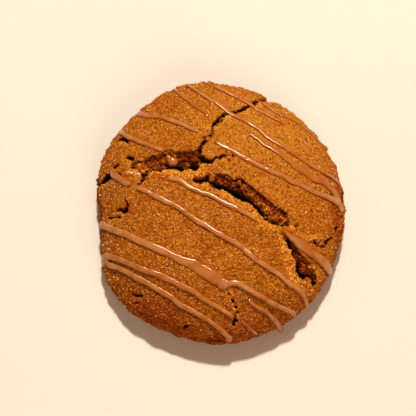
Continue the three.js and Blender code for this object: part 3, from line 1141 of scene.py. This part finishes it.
        # Golden crumb on banks that face the light, partly painted light; the listed bands add golden strips.
        rim = cracks.lit_rim(x, y)
        for band in self.bands:
            rim = np.maximum(rim, band.cover(x, y))
        floor = (z < rules.floor_height).astype(float)
        crust = np.clip(1.0 - crumb - floor, 0.0, 1.0)
        side = crust * smooth_step(*rules.side_feet, z) * (1.0 - smooth_step(*rules.side_heads, z))
        for coat, values in (
            (Coat.CRUST, crust),
            (Coat.CRUMB, crumb * (1.0 - floor) * (1.0 - rules.crumb_lost_in_shade * deep)),
            (Coat.BANK, cracks.bank(x, y, depth)),
            (Coat.RIM, rim * (1.0 - smooth_step(*rules.rim_depths, depth))),
            (Coat.DEEP, deep),
            (Coat.FLOOR, floor),
            (Coat.SIDE, side),
        ):
            store_value(self.piece.data, coat.value, values)
            store_group(self.piece, coat.value, values)


# ---------------------------------------------------------------- the drizzle


@dataclass(frozen=True)
class Strand:
    """One line of glaze, as points of x, y and width along its middle.

    rise is how high its crown stands over the crust. fall is how far it runs down the cookie's side past
    its last point. It bridges narrow cracks, or runs down into a rift where into_rift is set.
    """

    points: tuple[tuple[float, float, float], ...]
    rise: float
    fall: float = 0.0
    into_rift: bool = False


@dataclass(frozen=True)
class Blob:
    """A rounded gathering of glaze: its place in plan, its radius, its rise, and if it hangs in a rift."""

    x: float
    y: float
    radius: float
    rise: float
    into_rift: bool = False


@dataclass
class GlazeDrizzle:
    """The thin lines of caramel glaze that cross the cookie, fused where they meet.

    bridge is half the widest crack that a strand spans. A strand wider than twice plain_half is flatter.
    wobble is how uneven each edge is, as a share of its width, and waver how far its middle strays.
    """

    body: BakedBody
    step: float = 0.5
    map_step: float = 0.5
    surface_blur: float = 0.5
    bridge: float = 1.3
    bridge_blur: float = 0.9
    level_blur: float = 2.0
    tilt_reach: float = 0.5
    fall_probe: float = 2.0
    grid: float = 0.27
    skin: float = 0.5
    plain_half: float = 1.1
    flattening: float = 0.5
    roundness: float = 0.55
    taper_length: float = 1.2
    tip_share: float = 0.06
    wobble: float = 0.055
    waver: float = 0.12
    waver_steps: int = 7
    ripples: Relief = Relief("glaze_ripples", "CLOUDS", 1.8, 0.25)
    most_triangles: int = 180000
    strands: tuple[Strand, ...] = (
        Strand(
            (
                (-2, 45.5, 1.8), (3, 43, 2.0), (9.5, 39.5, 1.9), (13.5, 36.3, 1.8), (16.5, 34.6, 1.5),
                (24, 30, 1.0),
            ),
            rise=0.45,
        ),
        Strand(
            (
                (13, 41, 1.0), (17, 38, 1.4), (22, 34.5, 1.5), (28, 32, 1.5), (36, 26.5, 1.7),
                (39.6, 25.0, 2.0),
            ),
            rise=0.35, fall=1.5,
        ),
        Strand(
            (
                (-13, 48, 1.2), (-9, 44.5, 1.5), (-6, 41.5, 1.7), (0, 37, 1.8), (3.5, 34.2, 1.8),
                (6.3, 32.5, 1.7), (14, 27.7, 1.7), (17, 25.1, 1.7), (20, 22.8, 1.6), (24, 20.3, 1.6),
                (26.5, 18.5, 1.6), (34, 14, 1.5), (42, 10.3, 1.6), (45.2, 7.7, 1.8),
            ),
            rise=0.6, fall=1.0,
        ),
        Strand(
            (
                (10.8, 25.6, 1.1), (14.5, 23, 1.5), (19, 20, 1.6), (22, 18, 1.7), (24.5, 16, 1.9),
                (26.5, 14.5, 2.4), (28, 13.3, 3.2), (31, 12, 3.6), (35, 9.5, 3.6), (38, 8.5, 3.4),
                (41, 6, 3.2), (43.5, 3, 3.0), (44.5, 0, 2.4), (44.5, -1.8, 1.6),
            ),
            rise=0.62,
        ),
        Strand(
            (
                (-1.3, 22.5, 1.3), (0.5, 21.3, 2.0), (3, 20, 2.1), (5.5, 18.7, 2.0), (8, 17, 2.1),
                (14, 13.7, 2.1), (17, 12, 2.2), (22.5, 9.8, 2.2), (26, 7.9, 2.2), (32, 5.5, 2.2),
                (36, 4, 2.3), (40, 2.8, 2.5), (44, 1.5, 2.8),
            ),
            rise=0.75,
        ),
        Strand(
            (
                (-18.5, 9.2, 1.8), (-17, 8.7, 2.1), (-14, 7.8, 2.2), (-11, 6, 2.2), (-8, 4.2, 2.1),
                (-3, 2.2, 2.1), (1.5, -0.3, 2.1), (4, -1.7, 2.1), (8, -3.7, 2.0), (11, -5.3, 1.8),
                (13, -6.6, 1.3), (14.2, -7.6, 0.9),
            ),
            rise=0.95,
        ),
        Strand(
            (
                (-24.2, 10.3, 2.4), (-22.6, 10.1, 2.8), (-21.0, 9.7, 2.0), (-19.5, 9.3, 1.7),
                (-17.5, 8.8, 1.8),
            ),
            rise=0.25,
        ),
        Strand(
            (
                (23.0, -10.3, 1.0), (25.2, -11.9, 2.0), (27.5, -13.5, 3.0), (29.4, -14.8, 4.2),
                (31.2, -16.0, 4.3), (33.0, -17.3, 3.4), (35.0, -18.5, 3.2), (37.2, -20.0, 3.9),
                (39.2, -21.8, 3.6), (40.6, -23.6, 2.2),
            ),
            rise=0.85,
        ),
        Strand(
            ((-40, 13.2, 2.4), (-38.4, 11.7, 3.0), (-36, 9.8, 3.0), (-33.7, 8, 2.4), (-31.2, 7.0, 1.6)),
            rise=0.7,
        ),
        Strand(
            (
                (-29.6, 6.1, 1.8), (-27, 5, 2.2), (-24.5, 3.7, 2.2), (-19.5, 0.4, 2.2), (-17, -0.5, 2.2),
                (-14, -2, 2.1), (-9, -5.9, 2.1), (-6, -8, 2.2), (0, -11.2, 2.2), (3, -13.2, 2.2),
                (6, -14.7, 2.3), (11, -18.5, 2.3), (13, -20.6, 2.3), (16, -22.3, 2.3), (22, -26, 2.2),
                (25, -28.5, 2.1), (28, -30.2, 2.0), (29.8, -31.8, 1.9), (30.8, -33.6, 1.8),
                (31.6, -35.2, 1.6),
            ),
            rise=0.95, fall=1.0,
        ),
        Strand(
            (
                (-44.4, -5.0, 2.6), (-43, -5.4, 2.9), (-41.5, -6.5, 2.8), (-39, -8, 2.8), (-36, -9.5, 2.9),
                (-33, -10.5, 2.9), (-30, -12.3, 2.9), (-24, -15.6, 3.1), (-18, -18.3, 3.2),
                (-15, -19.7, 3.4), (-12, -21.2, 3.9), (-9, -23, 4.4), (-6, -24.7, 4.8), (-3, -26.3, 5.0),
                (0, -28, 4.6), (2.2, -29, 3.4), (5, -28.8, 2.3), (8, -29.8, 2.2), (14, -32.8, 2.2),
                (20, -35.8, 2.1), (23, -37, 2.0), (26.4, -38.2, 1.9),
            ),
            rise=1.05, fall=1.5,
        ),
        Strand(
            (
                (-43.2, -18, 2.6), (-41.5, -17.6, 2.7), (-38, -18.5, 2.6), (-32, -21.3, 2.6),
                (-26, -24, 2.6), (-20, -26.5, 2.6), (-14, -29.5, 2.5), (-11, -30.7, 2.5), (-8, -32.3, 2.4),
                (-5, -34.5, 2.3), (1, -38, 2.1), (5.4, -40.5, 1.7),
            ),
            rise=0.85,
        ),
        Strand(((7.5, -41.5, 1.2), (9.5, -43, 1.5), (12, -45, 1.4), (14, -46, 1.2)), rise=0.4),
        Strand(
            (
                (-42, -19.5, 3.0), (-40, -20.8, 2.6), (-37, -22, 2.3), (-31, -25.3, 2.3), (-25, -28.7, 2.4),
                (-19, -32.5, 2.4), (-13, -36.3, 2.3), (-7, -39.8, 2.2), (-4, -41.5, 2.0), (-1, -43.5, 2.0),
                (1.5, -45.5, 2.0), (3.4, -47.6, 2.2),
            ),
            rise=0.8, fall=1.0,
        ),
        Strand(
            ((10.5, -34.5, 1.1), (13, -36.5, 1.7), (15.5, -38, 1.8), (19.5, -40.5, 1.8), (22, -43.6, 2.2)),
            rise=0.65, fall=1.2,
        ),
        Strand(
            ((-32, 38, 1.8), (-29, 35.7, 2.6), (-26, 34.3, 2.8), (-22, 33.3, 2.4), (-19, 32, 1.9)),
            rise=0.4,
        ),
        Strand(
            (
                (-21, 32.8, 1.4), (-19, 32, 1.8), (-16, 30.5, 2.0), (-13, 29, 2.0), (-9.5, 27.2, 1.9),
                (-7.2, 25.8, 1.5),
            ),
            rise=0.75,
        ),
        Strand(
            (
                (-38, 30, 1.8), (-35.5, 28, 2.0), (-33, 26, 2.0), (-27, 22.8, 2.0), (-21, 19.8, 1.9),
                (-19.5, 18.9, 1.9),
            ),
            rise=0.75,
        ),
        Strand(
            ((-19.0, 18.1, 1.0), (-18.2, 17.4, 1.8), (-17.3, 16.6, 3.2), (-16.7, 15.9, 4.0)),
            rise=1.0, into_rift=True,
        ),
        Strand(
            (
                (-18, 47, 1.0), (-15, 43, 1.5), (-12, 40, 1.6), (-9, 37, 1.7), (-6, 34.6, 1.6),
                (-3.4, 32.1, 1.3),
            ),
            rise=0.42,
        ),
    )
    blobs: tuple[Blob, ...] = (
        Blob(39.3, 24.5, 1.3, 0.8),
        Blob(22.0, -43.6, 1.3, 1.0),
        Blob(3.2, -47.7, 1.4, 1.1),
        Blob(-43.6, -5.6, 1.8, 0.6),
        Blob(-43.0, -18.8, 2.5, 0.7),
        Blob(1.6, -29.4, 2.4, 1.0),
        Blob(-16.5, 15.8, 2.1, 2.3, into_rift=True),
    )
    tree: BVHTree = field(init=False)
    surface: HeightMap = field(init=False)
    bridged: HeightMap = field(init=False)
    level: HeightMap = field(init=False)

    def build(self) -> bpy.types.Object:
        """Lays the strands on the crust and fuses them.

        Returns:
            The finished piece.
        """
        self._survey_crust()
        laid = [self._strand(strand, number) for number, strand in enumerate(self.strands)]
        laid += [self._drop(blob) for blob in self.blobs]
        select_only(*laid)
        bpy.ops.object.join()
        piece = bpy.context.active_object
        piece.name = "caramel_drizzle"
        apply_modifier(piece, "REMESH", mode="VOXEL", voxel_size=self.grid * MM)
        apply_modifier(piece, "SMOOTH", factor=0.5, iterations=6)
        self.ripples.carve(piece)
        thin_to(piece, self.most_triangles)
        rest_on_table(piece.data)
        x, y, z = coordinates(piece.data).T
        store_value(piece.data, GlazeFinish.THICKNESS, np.clip(z - self.bridged.at(x, y), 0.0, 1.0))
        dress(piece, GlazeFinish().build())
        piece.data.shade_smooth()
        return piece

    def _survey_crust(self) -> None:
        """Maps the crust that the glaze lies on, as it is, with its cracks bridged, and uncracked."""
        self.tree = tree_of(self.body.piece)
        crust = HeightMap.of(self.body.piece, self.map_step)
        self.surface = crust.highest_within(self.map_step).blurred(self.surface_blur)
        self.bridged = crust.closed(self.bridge).highest_within(self.map_step).blurred(self.bridge_blur)
        self.level = self.body.uncracked.blurred(self.level_blur)

    def _ground(self, into_rift: bool) -> HeightMap:
        """The heights that glaze lies on: the open rift's, or the bridged crust's."""
        return self.surface if into_rift else self.bridged

    def _normal(self, x: float, y: float) -> Vector:
        """Which way the uncracked crust faces.

        Args:
            x: the place's x.
            y: the place's y.

        Returns:
            The unit normal there.
        """
        reach = self.tilt_reach
        rise_x = float(self.level.at(x + reach, y) - self.level.at(x - reach, y)) / (2 * reach)
        rise_y = float(self.level.at(x, y + reach) - self.level.at(x, y - reach)) / (2 * reach)
        return Vector((-rise_x, -rise_y, 1.0)).normalized()

    @staticmethod
    def _curve_through(points: Array, step: float) -> Array:
        """Even points on a smooth curve.

        Args:
            points: rows of numbers that it passes through, the first two of them a place in plan.
            step: how far apart the even points are in plan.

        Returns:
            The even points, as rows of the same numbers.
        """
        padded = np.vstack([2 * points[0] - points[1], points, 2 * points[-1] - points[-2]])
        rows = []
        for i in range(1, len(padded) - 2):
            a, b, c, d = padded[i - 1 : i + 3]
            count = max(2, int(np.hypot(*(c - b)[:2]) / step))
            for t in np.arange(count) / count:
                square = (2 * a - 5 * b + 4 * c - d) * t**2
                cube = (3 * b - a - 3 * c + d) * t**3
                rows.append(0.5 * (2 * b + (c - a) * t + square + cube))
        rows.append(points[-1])
        return np.array(rows)

    def _route(self, strand: Strand) -> tuple[Array, Array, Array]:
        """Where a strand's middle lies on the crust, step by step.

        Args:
            strand: the strand.

        Returns:
            Its points in millimetres, the crust's normals there, and its widths.
        """
        rows = self._curve_through(np.array(strand.points, dtype=float), self.step)
        ground = self._ground(strand.into_rift)
        places = [Vector((x, y, float(ground.at(x, y)))) for x, y, _ in rows]
        ways = [self._normal(x, y) for x, y, _ in rows]
        x, y, width = rows[-1]
        outward = Vector((x, y, 0.0)).normalized()
        edge = places[-1].z
        for i in range(int(strand.fall / self.step)):
            below = Vector((x, y, edge - (i + 1) * self.step)) + outward * self.fall_probe
            spot, way, _, _ = self.tree.find_nearest(below * MM)
            places.append(spot / MM)
            ways.append(way)
        widths = np.append(rows[:, 2], np.full(len(places) - len(rows), width))
        return np.array(places), np.array(ways), widths

    def _unevenness(self, count: int, number: int) -> Array:
        """Random unevenness that changes slowly along a strand.

        Args:
            count: how many steps the strand has.
            number: the strand's number, which seeds it.

        Returns:
            Three rows, for its left edge, its right edge and its middle.
        """
        steps = self.waver_steps
        noise = np.random.default_rng(SEED + number).normal(0.0, 1.0, (3, count + steps - 1))
        evening = np.ones(steps) / math.sqrt(steps)
        return np.array([np.convolve(line, evening, mode="valid") for line in noise])

    def _strand(self, strand: Strand, number: int) -> bpy.types.Object:
        """Makes one strand: a straight round tube, wrapped along its route with a thin underside.

        Args:
            strand: the strand.
            number: its number.

        Returns:
            The strand's object.
        """
        places, ways, widths = self._route(strand)
        count = len(places)
        tube = self._straight_tube(f"strand_{number}", count)
        points = coordinates(tube.data) * MM
        ring = np.clip(np.rint(points[:, 0]).astype(int), 0, count - 1)
        across, up = points[:, 1], points[:, 2]
        left, right, waver = self._unevenness(count, number)
        wobble = np.where(across > 0.0, left[ring], right[ring])
        to_end = np.minimum(np.arange(count), count - 1 - np.arange(count)) * self.step
        shrink = np.maximum(0.0, 1.0 - to_end / self.taper_length) ** 2
        taper = np.sqrt(np.maximum(self.tip_share, 1.0 - shrink))
        half = 0.5 * widths * taper
        rise = strand.rise * taper * np.minimum(1.0, (self.plain_half / half) ** self.flattening)
        across *= half[ring] * (1.0 + self.wobble * wobble)
        flat = count - int(strand.fall / self.step)
        side = np.cross(ways[:flat], np.gradient(places[:flat], axis=0))
        side /= np.linalg.norm(side, axis=1)[:, None]
        side = np.vstack([side, np.repeat(side[-1:], count - flat, axis=0)])
        base = places[ring] + side[ring] * (across + self.waver * waver[ring])[:, None]
        if not strand.into_rift:
            base[:, 2] = np.where(ring < flat, self.bridged.at(base[:, 0], base[:, 1]), base[:, 2])
        lift = np.where(up > 0.0, np.abs(up) ** self.roundness * rise[ring], up * self.skin)
        move_vertices(tube.data, base + ways[ring] * lift[:, None])
        return tube

    @staticmethod
    def _straight_tube(name: str, count: int) -> bpy.types.Object:
        """A straight closed tube along X, one unit round, with a ring of vertices at each whole number.

        Args:
            name: its name.
            count: how many rings it has.

        Returns:
            The tube as a mesh object.
        """
        data = bpy.data.curves.new(name, "CURVE")
        data.dimensions = "3D"
        data.bevel_depth = 1.0
        data.bevel_resolution = 4
        data.use_fill_caps = True
        spline = data.splines.new("POLY")
        spline.points.add(count - 1)
        for i, point in enumerate(spline.points):
            point.co = (i, 0.0, 0.0, 1.0)
        select_only(add_to_scene(name, data))
        bpy.ops.object.convert(target="MESH")
        return bpy.context.active_object

    def _drop(self, blob: Blob) -> bpy.types.Object:
        """Makes one rounded gathering of glaze as a flattened ball on the crust.

        Args:
            blob: the gathering.

        Returns:
            Its object.
        """
        level = float(self._ground(blob.into_rift).at(blob.x, blob.y))
        place = (blob.x * MM, blob.y * MM, level * MM)
        bpy.ops.object.select_all(action="DESELECT")
        bpy.ops.mesh.primitive_uv_sphere_add(segments=20, ring_count=12, radius=MM, location=place)
        ball = bpy.context.active_object
        ball.scale = (blob.radius, blob.radius, blob.rise)
        ball.rotation_euler = self._normal(blob.x, blob.y).to_track_quat("Z", "Y").to_euler()
        bpy.ops.object.transform_apply(location=True, rotation=True, scale=True)
        return ball


# ---------------------------------------------------------------- sugar and crumbs


@dataclass(frozen=True)
class Wave:
    """A wave in plan whose crests bend from side to side. Its lengths are for one radian."""

    length: float
    bend: float
    bend_length: float

    def at(self, along: Array, across: Array) -> Array:
        """The wave's height, from -1 to 1, at places along and across it."""
        return np.sin(along / self.length + self.bend * np.sin(across / self.bend_length))


@dataclass
class Grains:
    """One kind of small thing, scattered over part of the body as joined copies of one small shape.

    sunk is the share of a grain that is under the surface. rounds is set for balls and left out for cubes.
    low_share is how many lie at the cookie's foot, against its top. patchiness is how uneven the cover is,
    and spots are the places, as x, y and radius, that they keep to.
    """

    DRIFT_X = Wave(3.1, 2.0, 5.3)
    DRIFT_Y = Wave(3.7, 1.3, 4.1)

    name: str
    count: int
    sizes: Span
    sunk: float
    where: Coat
    finish: GrainFinish
    slot: Slot
    seed: int
    rounds: int = 0
    roughening: float = 0.12
    low_share: float = 1.0
    patchiness: float = 0.0
    spots: tuple[tuple[float, float, float], ...] = ()
    cube_side: float = 0.8
    ball_radius: float = 0.5
    size_power: float = 1.8
    stretches: Span = (0.72, 1.25)
    lowest: float = 0.6
    low_heights: Span = (5.0, 20.0)
    cover_reach: float = 4.0

    def build(self, body: bpy.types.Object, covers: list[BVHTree]) -> bpy.types.Object:
        """Scatters this kind over the body as one mesh.

        Args:
            body: the cookie's body.
            covers: trees of the pieces that lie over the body.

        Returns:
            The finished piece.
        """
        rng = np.random.default_rng(self.seed)
        corners, triangles = self._shape()
        places, ways = self._places(body.data, covers, rng)
        count = len(places)
        turns = random_turns(count, rng)
        low, high = self.sizes
        size = low + (high - low) * rng.random(count) ** self.size_power
        stretch = rng.uniform(*self.stretches, (count, 1, 3))
        rough = 1.0 + self.roughening * rng.normal(0.0, 1.0, (count, len(corners), 3))
        shapes = corners[None] * stretch * rough * size[:, None, None]
        centres = places + ways * (size * (0.5 - self.sunk))[:, None]
        vertices = np.einsum("nij,nkj->nki", turns, shapes) + centres[:, None]
        faces = triangles[None] + (np.arange(count) * len(corners))[:, None, None]
        mesh = bpy.data.meshes.new(self.name)
        fill_triangles(mesh, vertices.reshape(-1, 3), faces.reshape(-1, 3))
        mesh.shade_flat()
        rest_on_table(mesh)
        store_value(mesh, GrainFinish.TONE, np.repeat(rng.random(count), len(corners)))
        piece = add_to_scene(self.name, mesh)
        dress(piece, self.finish.build())
        return piece

    def _shape(self) -> tuple[Array, Array]:
        """The one small shape: a cube, or a ball where rounds is set.

        Returns:
            Its vertices, about one unit across, and its triangles.
        """
        bpy.ops.object.select_all(action="DESELECT")
        if self.rounds:
            bpy.ops.mesh.primitive_ico_sphere_add(subdivisions=self.rounds, radius=self.ball_radius)
        else:
            bpy.ops.mesh.primitive_cube_add(size=self.cube_side)
        shape = bpy.context.active_object
        bpy.ops.object.mode_set(mode="EDIT")
        bpy.ops.mesh.select_all(action="SELECT")
        bpy.ops.mesh.quads_convert_to_tris()
        bpy.ops.object.mode_set(mode="OBJECT")
        mesh = shape.data
        corners = coordinates(mesh) * MM
        triangles = np.array([polygon.vertices[:] for polygon in mesh.polygons])
        bpy.data.objects.remove(shape)
        bpy.data.meshes.remove(mesh)
        return corners, triangles

    def _places(
        self, mesh: bpy.types.Mesh, covers: list[BVHTree], rng: np.random.Generator
    ) -> tuple[Array, Array]:
        """Random places on the body where this kind lies.

        Args:
            mesh: the body's mesh.
            covers: trees of the pieces that lie over the body, where nothing is put.
            rng: the random numbers.

        Returns:
            The places in millimetres and the surface's normals there.
        """
        mesh.calc_loop_triangles()
        flat = np.empty(len(mesh.loop_triangles) * 3, dtype=np.int32)
        mesh.loop_triangles.foreach_get("vertices", flat)
        corners = flat.reshape(-1, 3)
        chance = self._chances(mesh, corners)
        chosen = corners[rng.choice(len(corners), size=self.count, p=chance / chance.sum())]
        u, v = rng.random((2, self.count))
        over = u + v > 1.0
        u[over], v[over] = 1.0 - u[over], 1.0 - v[over]
        weights = np.stack([1.0 - u - v, u, v], axis=1)[:, :, None]
        places = (coordinates(mesh)[chosen] * weights).sum(axis=1)
        ways = (normals(mesh)[chosen] * weights).sum(axis=1)
        ways /= np.linalg.norm(ways, axis=1)[:, None]
        free = self._uncovered(places, ways, covers)
        return places[free], ways[free]

    def _chances(self, mesh: bpy.types.Mesh, corners: Array) -> Array:
        """How likely a grain is to lie on each triangle of the body.

        Args:
            mesh: the body's mesh.
            corners: its triangles, three vertex numbers to a row.

        Returns:
            The chances, not yet brought to a sum of one.
        """
        share = np.empty(len(mesh.vertices), dtype=np.float32)
        mesh.attributes[self.where.value].data.foreach_get("value", share)
        points = coordinates(mesh)
        a, b, c = (points[corners[:, k]] for k in range(3))
        area = 0.5 * np.linalg.norm(np.cross(b - a, c - a), axis=1)
        x, y, z = a.T
        chance = area * share[corners].mean(axis=1) ** 2 * (z > self.lowest)
        chance *= self.low_share + (1.0 - self.low_share) * smooth_step(*self.low_heights, z)
        if self.patchiness:
            chance *= 1.0 + self.patchiness * (self.DRIFT_X.at(x, y) * self.DRIFT_Y.at(y, x))
        if self.spots:
            near = [np.hypot(x - spot_x, y - spot_y) < radius for spot_x, spot_y, radius in self.spots]
            chance *= np.any(near, axis=0)
        return chance

    def _uncovered(self, places: Array, ways: Array, covers: list[BVHTree]) -> Array:
        """Finds the places that nothing lies over.

        Args:
            places: places on the body, in millimetres.
            ways: the surface's normals there.
            covers: trees of the pieces that may lie over them.

        Returns:
            True for each place that is free.
        """
        free = np.ones(len(places), dtype=bool)
        reach = self.cover_reach * MM
        for tree in covers:
            for i, (place, way) in enumerate(zip(places, ways)):
                if free[i] and tree.ray_cast(Vector((place - way) * MM), Vector(way), reach)[0] is not None:
                    free[i] = False
        return free


CLUMPS = ((-32.4, 11.8, 0.7), (-31.2, 11.5, 0.8), (-29.8, 11.2, 0.8), (-28.8, 10.9, 0.5))


def toppings() -> list[Grains]:
    """Every kind of sugar and crumb that lies on the cookie.

    Returns:
        The kinds, in the order that they are scattered in.
    """
    brown = GrainFinish(
        "cinnamon_sugar",
        ((0.0, srgb(148, 69, 0)), (0.5, srgb(183, 101, 7)), (1.0, srgb(216, 145, 52))),
        roughness=0.6,
        specular=0.08,
    )
    tan = GrainFinish(
        "tan_sugar",
        ((0.0, srgb(194, 122, 38)), (0.6, srgb(214, 150, 76)), (1.0, srgb(234, 184, 116))),
        roughness=0.5,
        specular=0.12,
    )
    white = GrainFinish(
        "white_sugar",
        ((0.0, srgb(226, 162, 98)), (0.6, srgb(238, 192, 138)), (1.0, srgb(250, 224, 190))),
        roughness=0.3,
        specular=0.4,
    )
    torn = GrainFinish(
        "torn_crumb",
        ((0.0, srgb(96, 26, 0)), (0.5, srgb(148, 66, 2)), (1.0, srgb(202, 120, 24))),
        roughness=0.9,
        specular=0.05,
    )
    golden = GrainFinish(
        "golden_crumb",
        ((0.0, srgb(190, 112, 14)), (0.5, srgb(228, 158, 48)), (1.0, srgb(250, 190, 84))),
        roughness=0.9,
        specular=0.05,
    )
    return [
        Grains(
            "sugar_brown", 13500, (0.3, 0.62), 0.46, Coat.CRUST, brown, Slot.SUGAR, SEED + 101, low_share=0.35
        ),
        Grains(
            "sugar_tan", 11000, (0.28, 0.6), 0.46, Coat.CRUST, tan, Slot.SUGAR, SEED + 106,
            low_share=0.15, patchiness=0.4,
        ),
        Grains(
            "sugar_white", 600, (0.3, 0.6), 0.4, Coat.CRUST, white, Slot.SUGAR, SEED + 102,
            low_share=0.6, patchiness=0.6,
        ),
        Grains("sugar_clumps", 16, (0.7, 1.3), 0.4, Coat.CRUST, white, Slot.SUGAR, SEED + 107, spots=CLUMPS),
        Grains(
            "crumbs_fine", 4600, (0.35, 0.85), 0.6, Coat.CRUMB, torn, Slot.CRUST, SEED + 103, roughening=0.25
        ),
        Grains(
            "crumbs_coarse", 200, (0.9, 1.6), 0.55, Coat.CRUMB, torn, Slot.CRUST, SEED + 104,
            rounds=1, roughening=0.3,
        ),
        # These golden crumbs lie on the rim coat, so their light tone is partly painted light too.
        Grains(
            "crumbs_golden", 2600, (0.3, 0.75), 0.5, Coat.RIM, golden, Slot.CRUST, SEED + 105, roughening=0.25
        ),
    ]


# ---------------------------------------------------------------- the stage


def aimed(place: Vector, back: Vector, right: Vector) -> Matrix:
    """The pose of a light or a camera.

    Args:
        place: where it stands, in metres.
        back: which way its back points, as a unit vector.
        right: which way its right side points, roughly.

    Returns:
        The pose.
    """
    right = (right - right.dot(back) * back).normalized()
    turn = Matrix((right, back.cross(right), back)).transposed().to_4x4()
    return Matrix.Translation(place) @ turn


@dataclass(frozen=True)
class Lamp:
    """A rectangular light that faces the cookie: its place, its width along a direction, and its depth."""

    name: str
    place: Place
    width: float
    depth: float
    watts: float
    tint: Colour
    along: Place = (1.0, 0.0, 0.0)
    lights_matt: bool = True
    shows_in_gloss: bool = True

    def build(self) -> None:
        """Makes the light."""
        data = bpy.data.lights.new(self.name, "AREA")
        data.shape = "RECTANGLE"
        data.size = self.width * MM
        data.size_y = self.depth * MM
        data.energy = self.watts
        data.color = self.tint
        light = add_to_scene(self.name, data)
        place = Vector(self.place) * MM
        light.matrix_world = aimed(place, place.normalized(), Vector(self.along))
        light.visible_diffuse = self.lights_matt
        light.visible_glossy = self.shows_in_gloss


LIGHT_PLACE: Place = (89.0, 740.0, 1185.0)
SHINE_ALONG: Place = (1.0, -0.56, 0.0)


@dataclass(frozen=True)
class Stage:
    """The pale floor and the studio lights."""

    floor_size: float = 3000.0
    floor_cells: int = 8
    paper_patch_size: float = 400.0
    paper: Stops = ((0.3, srgb(236, 228, 220)), (0.7, srgb(242, 236, 229)))
    paper_roughness: float = 0.9
    lamps: tuple[Lamp, ...] = (
        Lamp("key_light", LIGHT_PLACE, 80, 80, 19.0, (1.0, 0.935, 0.81), shows_in_gloss=False),
        Lamp("shine_light", LIGHT_PLACE, 800, 40, 54.0, (1.0, 0.94, 0.84), SHINE_ALONG, lights_matt=False),
        Lamp("fill_light", (450, -950, 900), 700, 700, 6.0, (1.0, 0.69, 0.45)),
    )
    sky_tint: Colour = (1.0, 0.88, 0.74)
    sky_strength: float = 0.19
    gamma: float = 0.86

    def build(self) -> None:
        """Makes the floor, the lights and the sky."""
        self._lay_floor()
        for lamp in self.lamps:
            lamp.build()
        world = bpy.data.worlds.new("studio_sky")
        world.use_nodes = True
        background = world.node_tree.nodes["Background"]
        background.inputs["Color"].default_value = (*self.sky_tint, 1.0)
        background.inputs["Strength"].default_value = self.sky_strength
        bpy.context.scene.world = world
        view = bpy.context.scene.view_settings
        view.view_transform = "Standard"
        view.gamma = self.gamma

    def _lay_floor(self) -> None:
        """Makes the floor and its paper."""
        cells, size = self.floor_cells, self.floor_size * MM
        bpy.ops.object.select_all(action="DESELECT")
        bpy.ops.mesh.primitive_grid_add(x_subdivisions=cells, y_subdivisions=cells, size=size)
        floor = bpy.context.active_object
        floor.name = "pale_floor"
        sheet = NodeSheet("pale_floor_paper")
        colour = sheet.ramp(sheet.noise(self.paper_patch_size), self.paper)
        floor.data.materials.append(sheet.finish(colour, self.paper_roughness))


@dataclass(frozen=True)
class PhotoCamera:
    """A camera that looks down on the cookie, leaning a little towards the viewer."""

    frame_px: float = 416.0
    focal_px: float = 1600.0
    sensor: float = 36.0
    lean_deg: float = 10.37
    lean_heading: PlanPoint = (0.283, -0.959)
    aim: Place = (-5.0, 2.65, 0.0)
    distance: float = 601.6
    nearest_m: float = 0.01

    def build(self) -> None:
        """Makes the camera and sets it as the scene's."""
        lean = math.radians(self.lean_deg)
        toward = Vector(self.lean_heading).normalized()
        back = Vector((toward.x * math.sin(lean), toward.y * math.sin(lean), math.cos(lean)))
        place = (Vector(self.aim) + back * self.distance) * MM
        data = bpy.data.cameras.new("photo_camera")
        data.sensor_width = self.sensor
        data.lens = self.sensor * self.focal_px / self.frame_px
        data.clip_start = self.nearest_m
        camera = add_to_scene("photo_camera", data)
        camera.matrix_world = aimed(place, back, Vector((0.0, 1.0, 0.0)).cross(back))
        bpy.context.scene.camera = camera


def main() -> None:
    """Builds the stage and the cookie."""
    logging.basicConfig(level=logging.INFO, format="%(name)s: %(message)s")
    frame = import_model()
    Stage().build()
    PhotoCamera().build()
    body = BakedBody(frame["nodes"][NODE])
    drizzle = GlazeDrizzle(body)
    pieces = [body.build(), drizzle.build()]
    covers = [tree_of(pieces[1])]
    pieces += [kind.build(body.piece, covers) for kind in toppings()]
    for piece in pieces:
        piece.data.calc_loop_triangles()
        log.info("%s: %d triangles", piece.name, len(piece.data.loop_triangles))


if __name__ == "__main__":
    main()
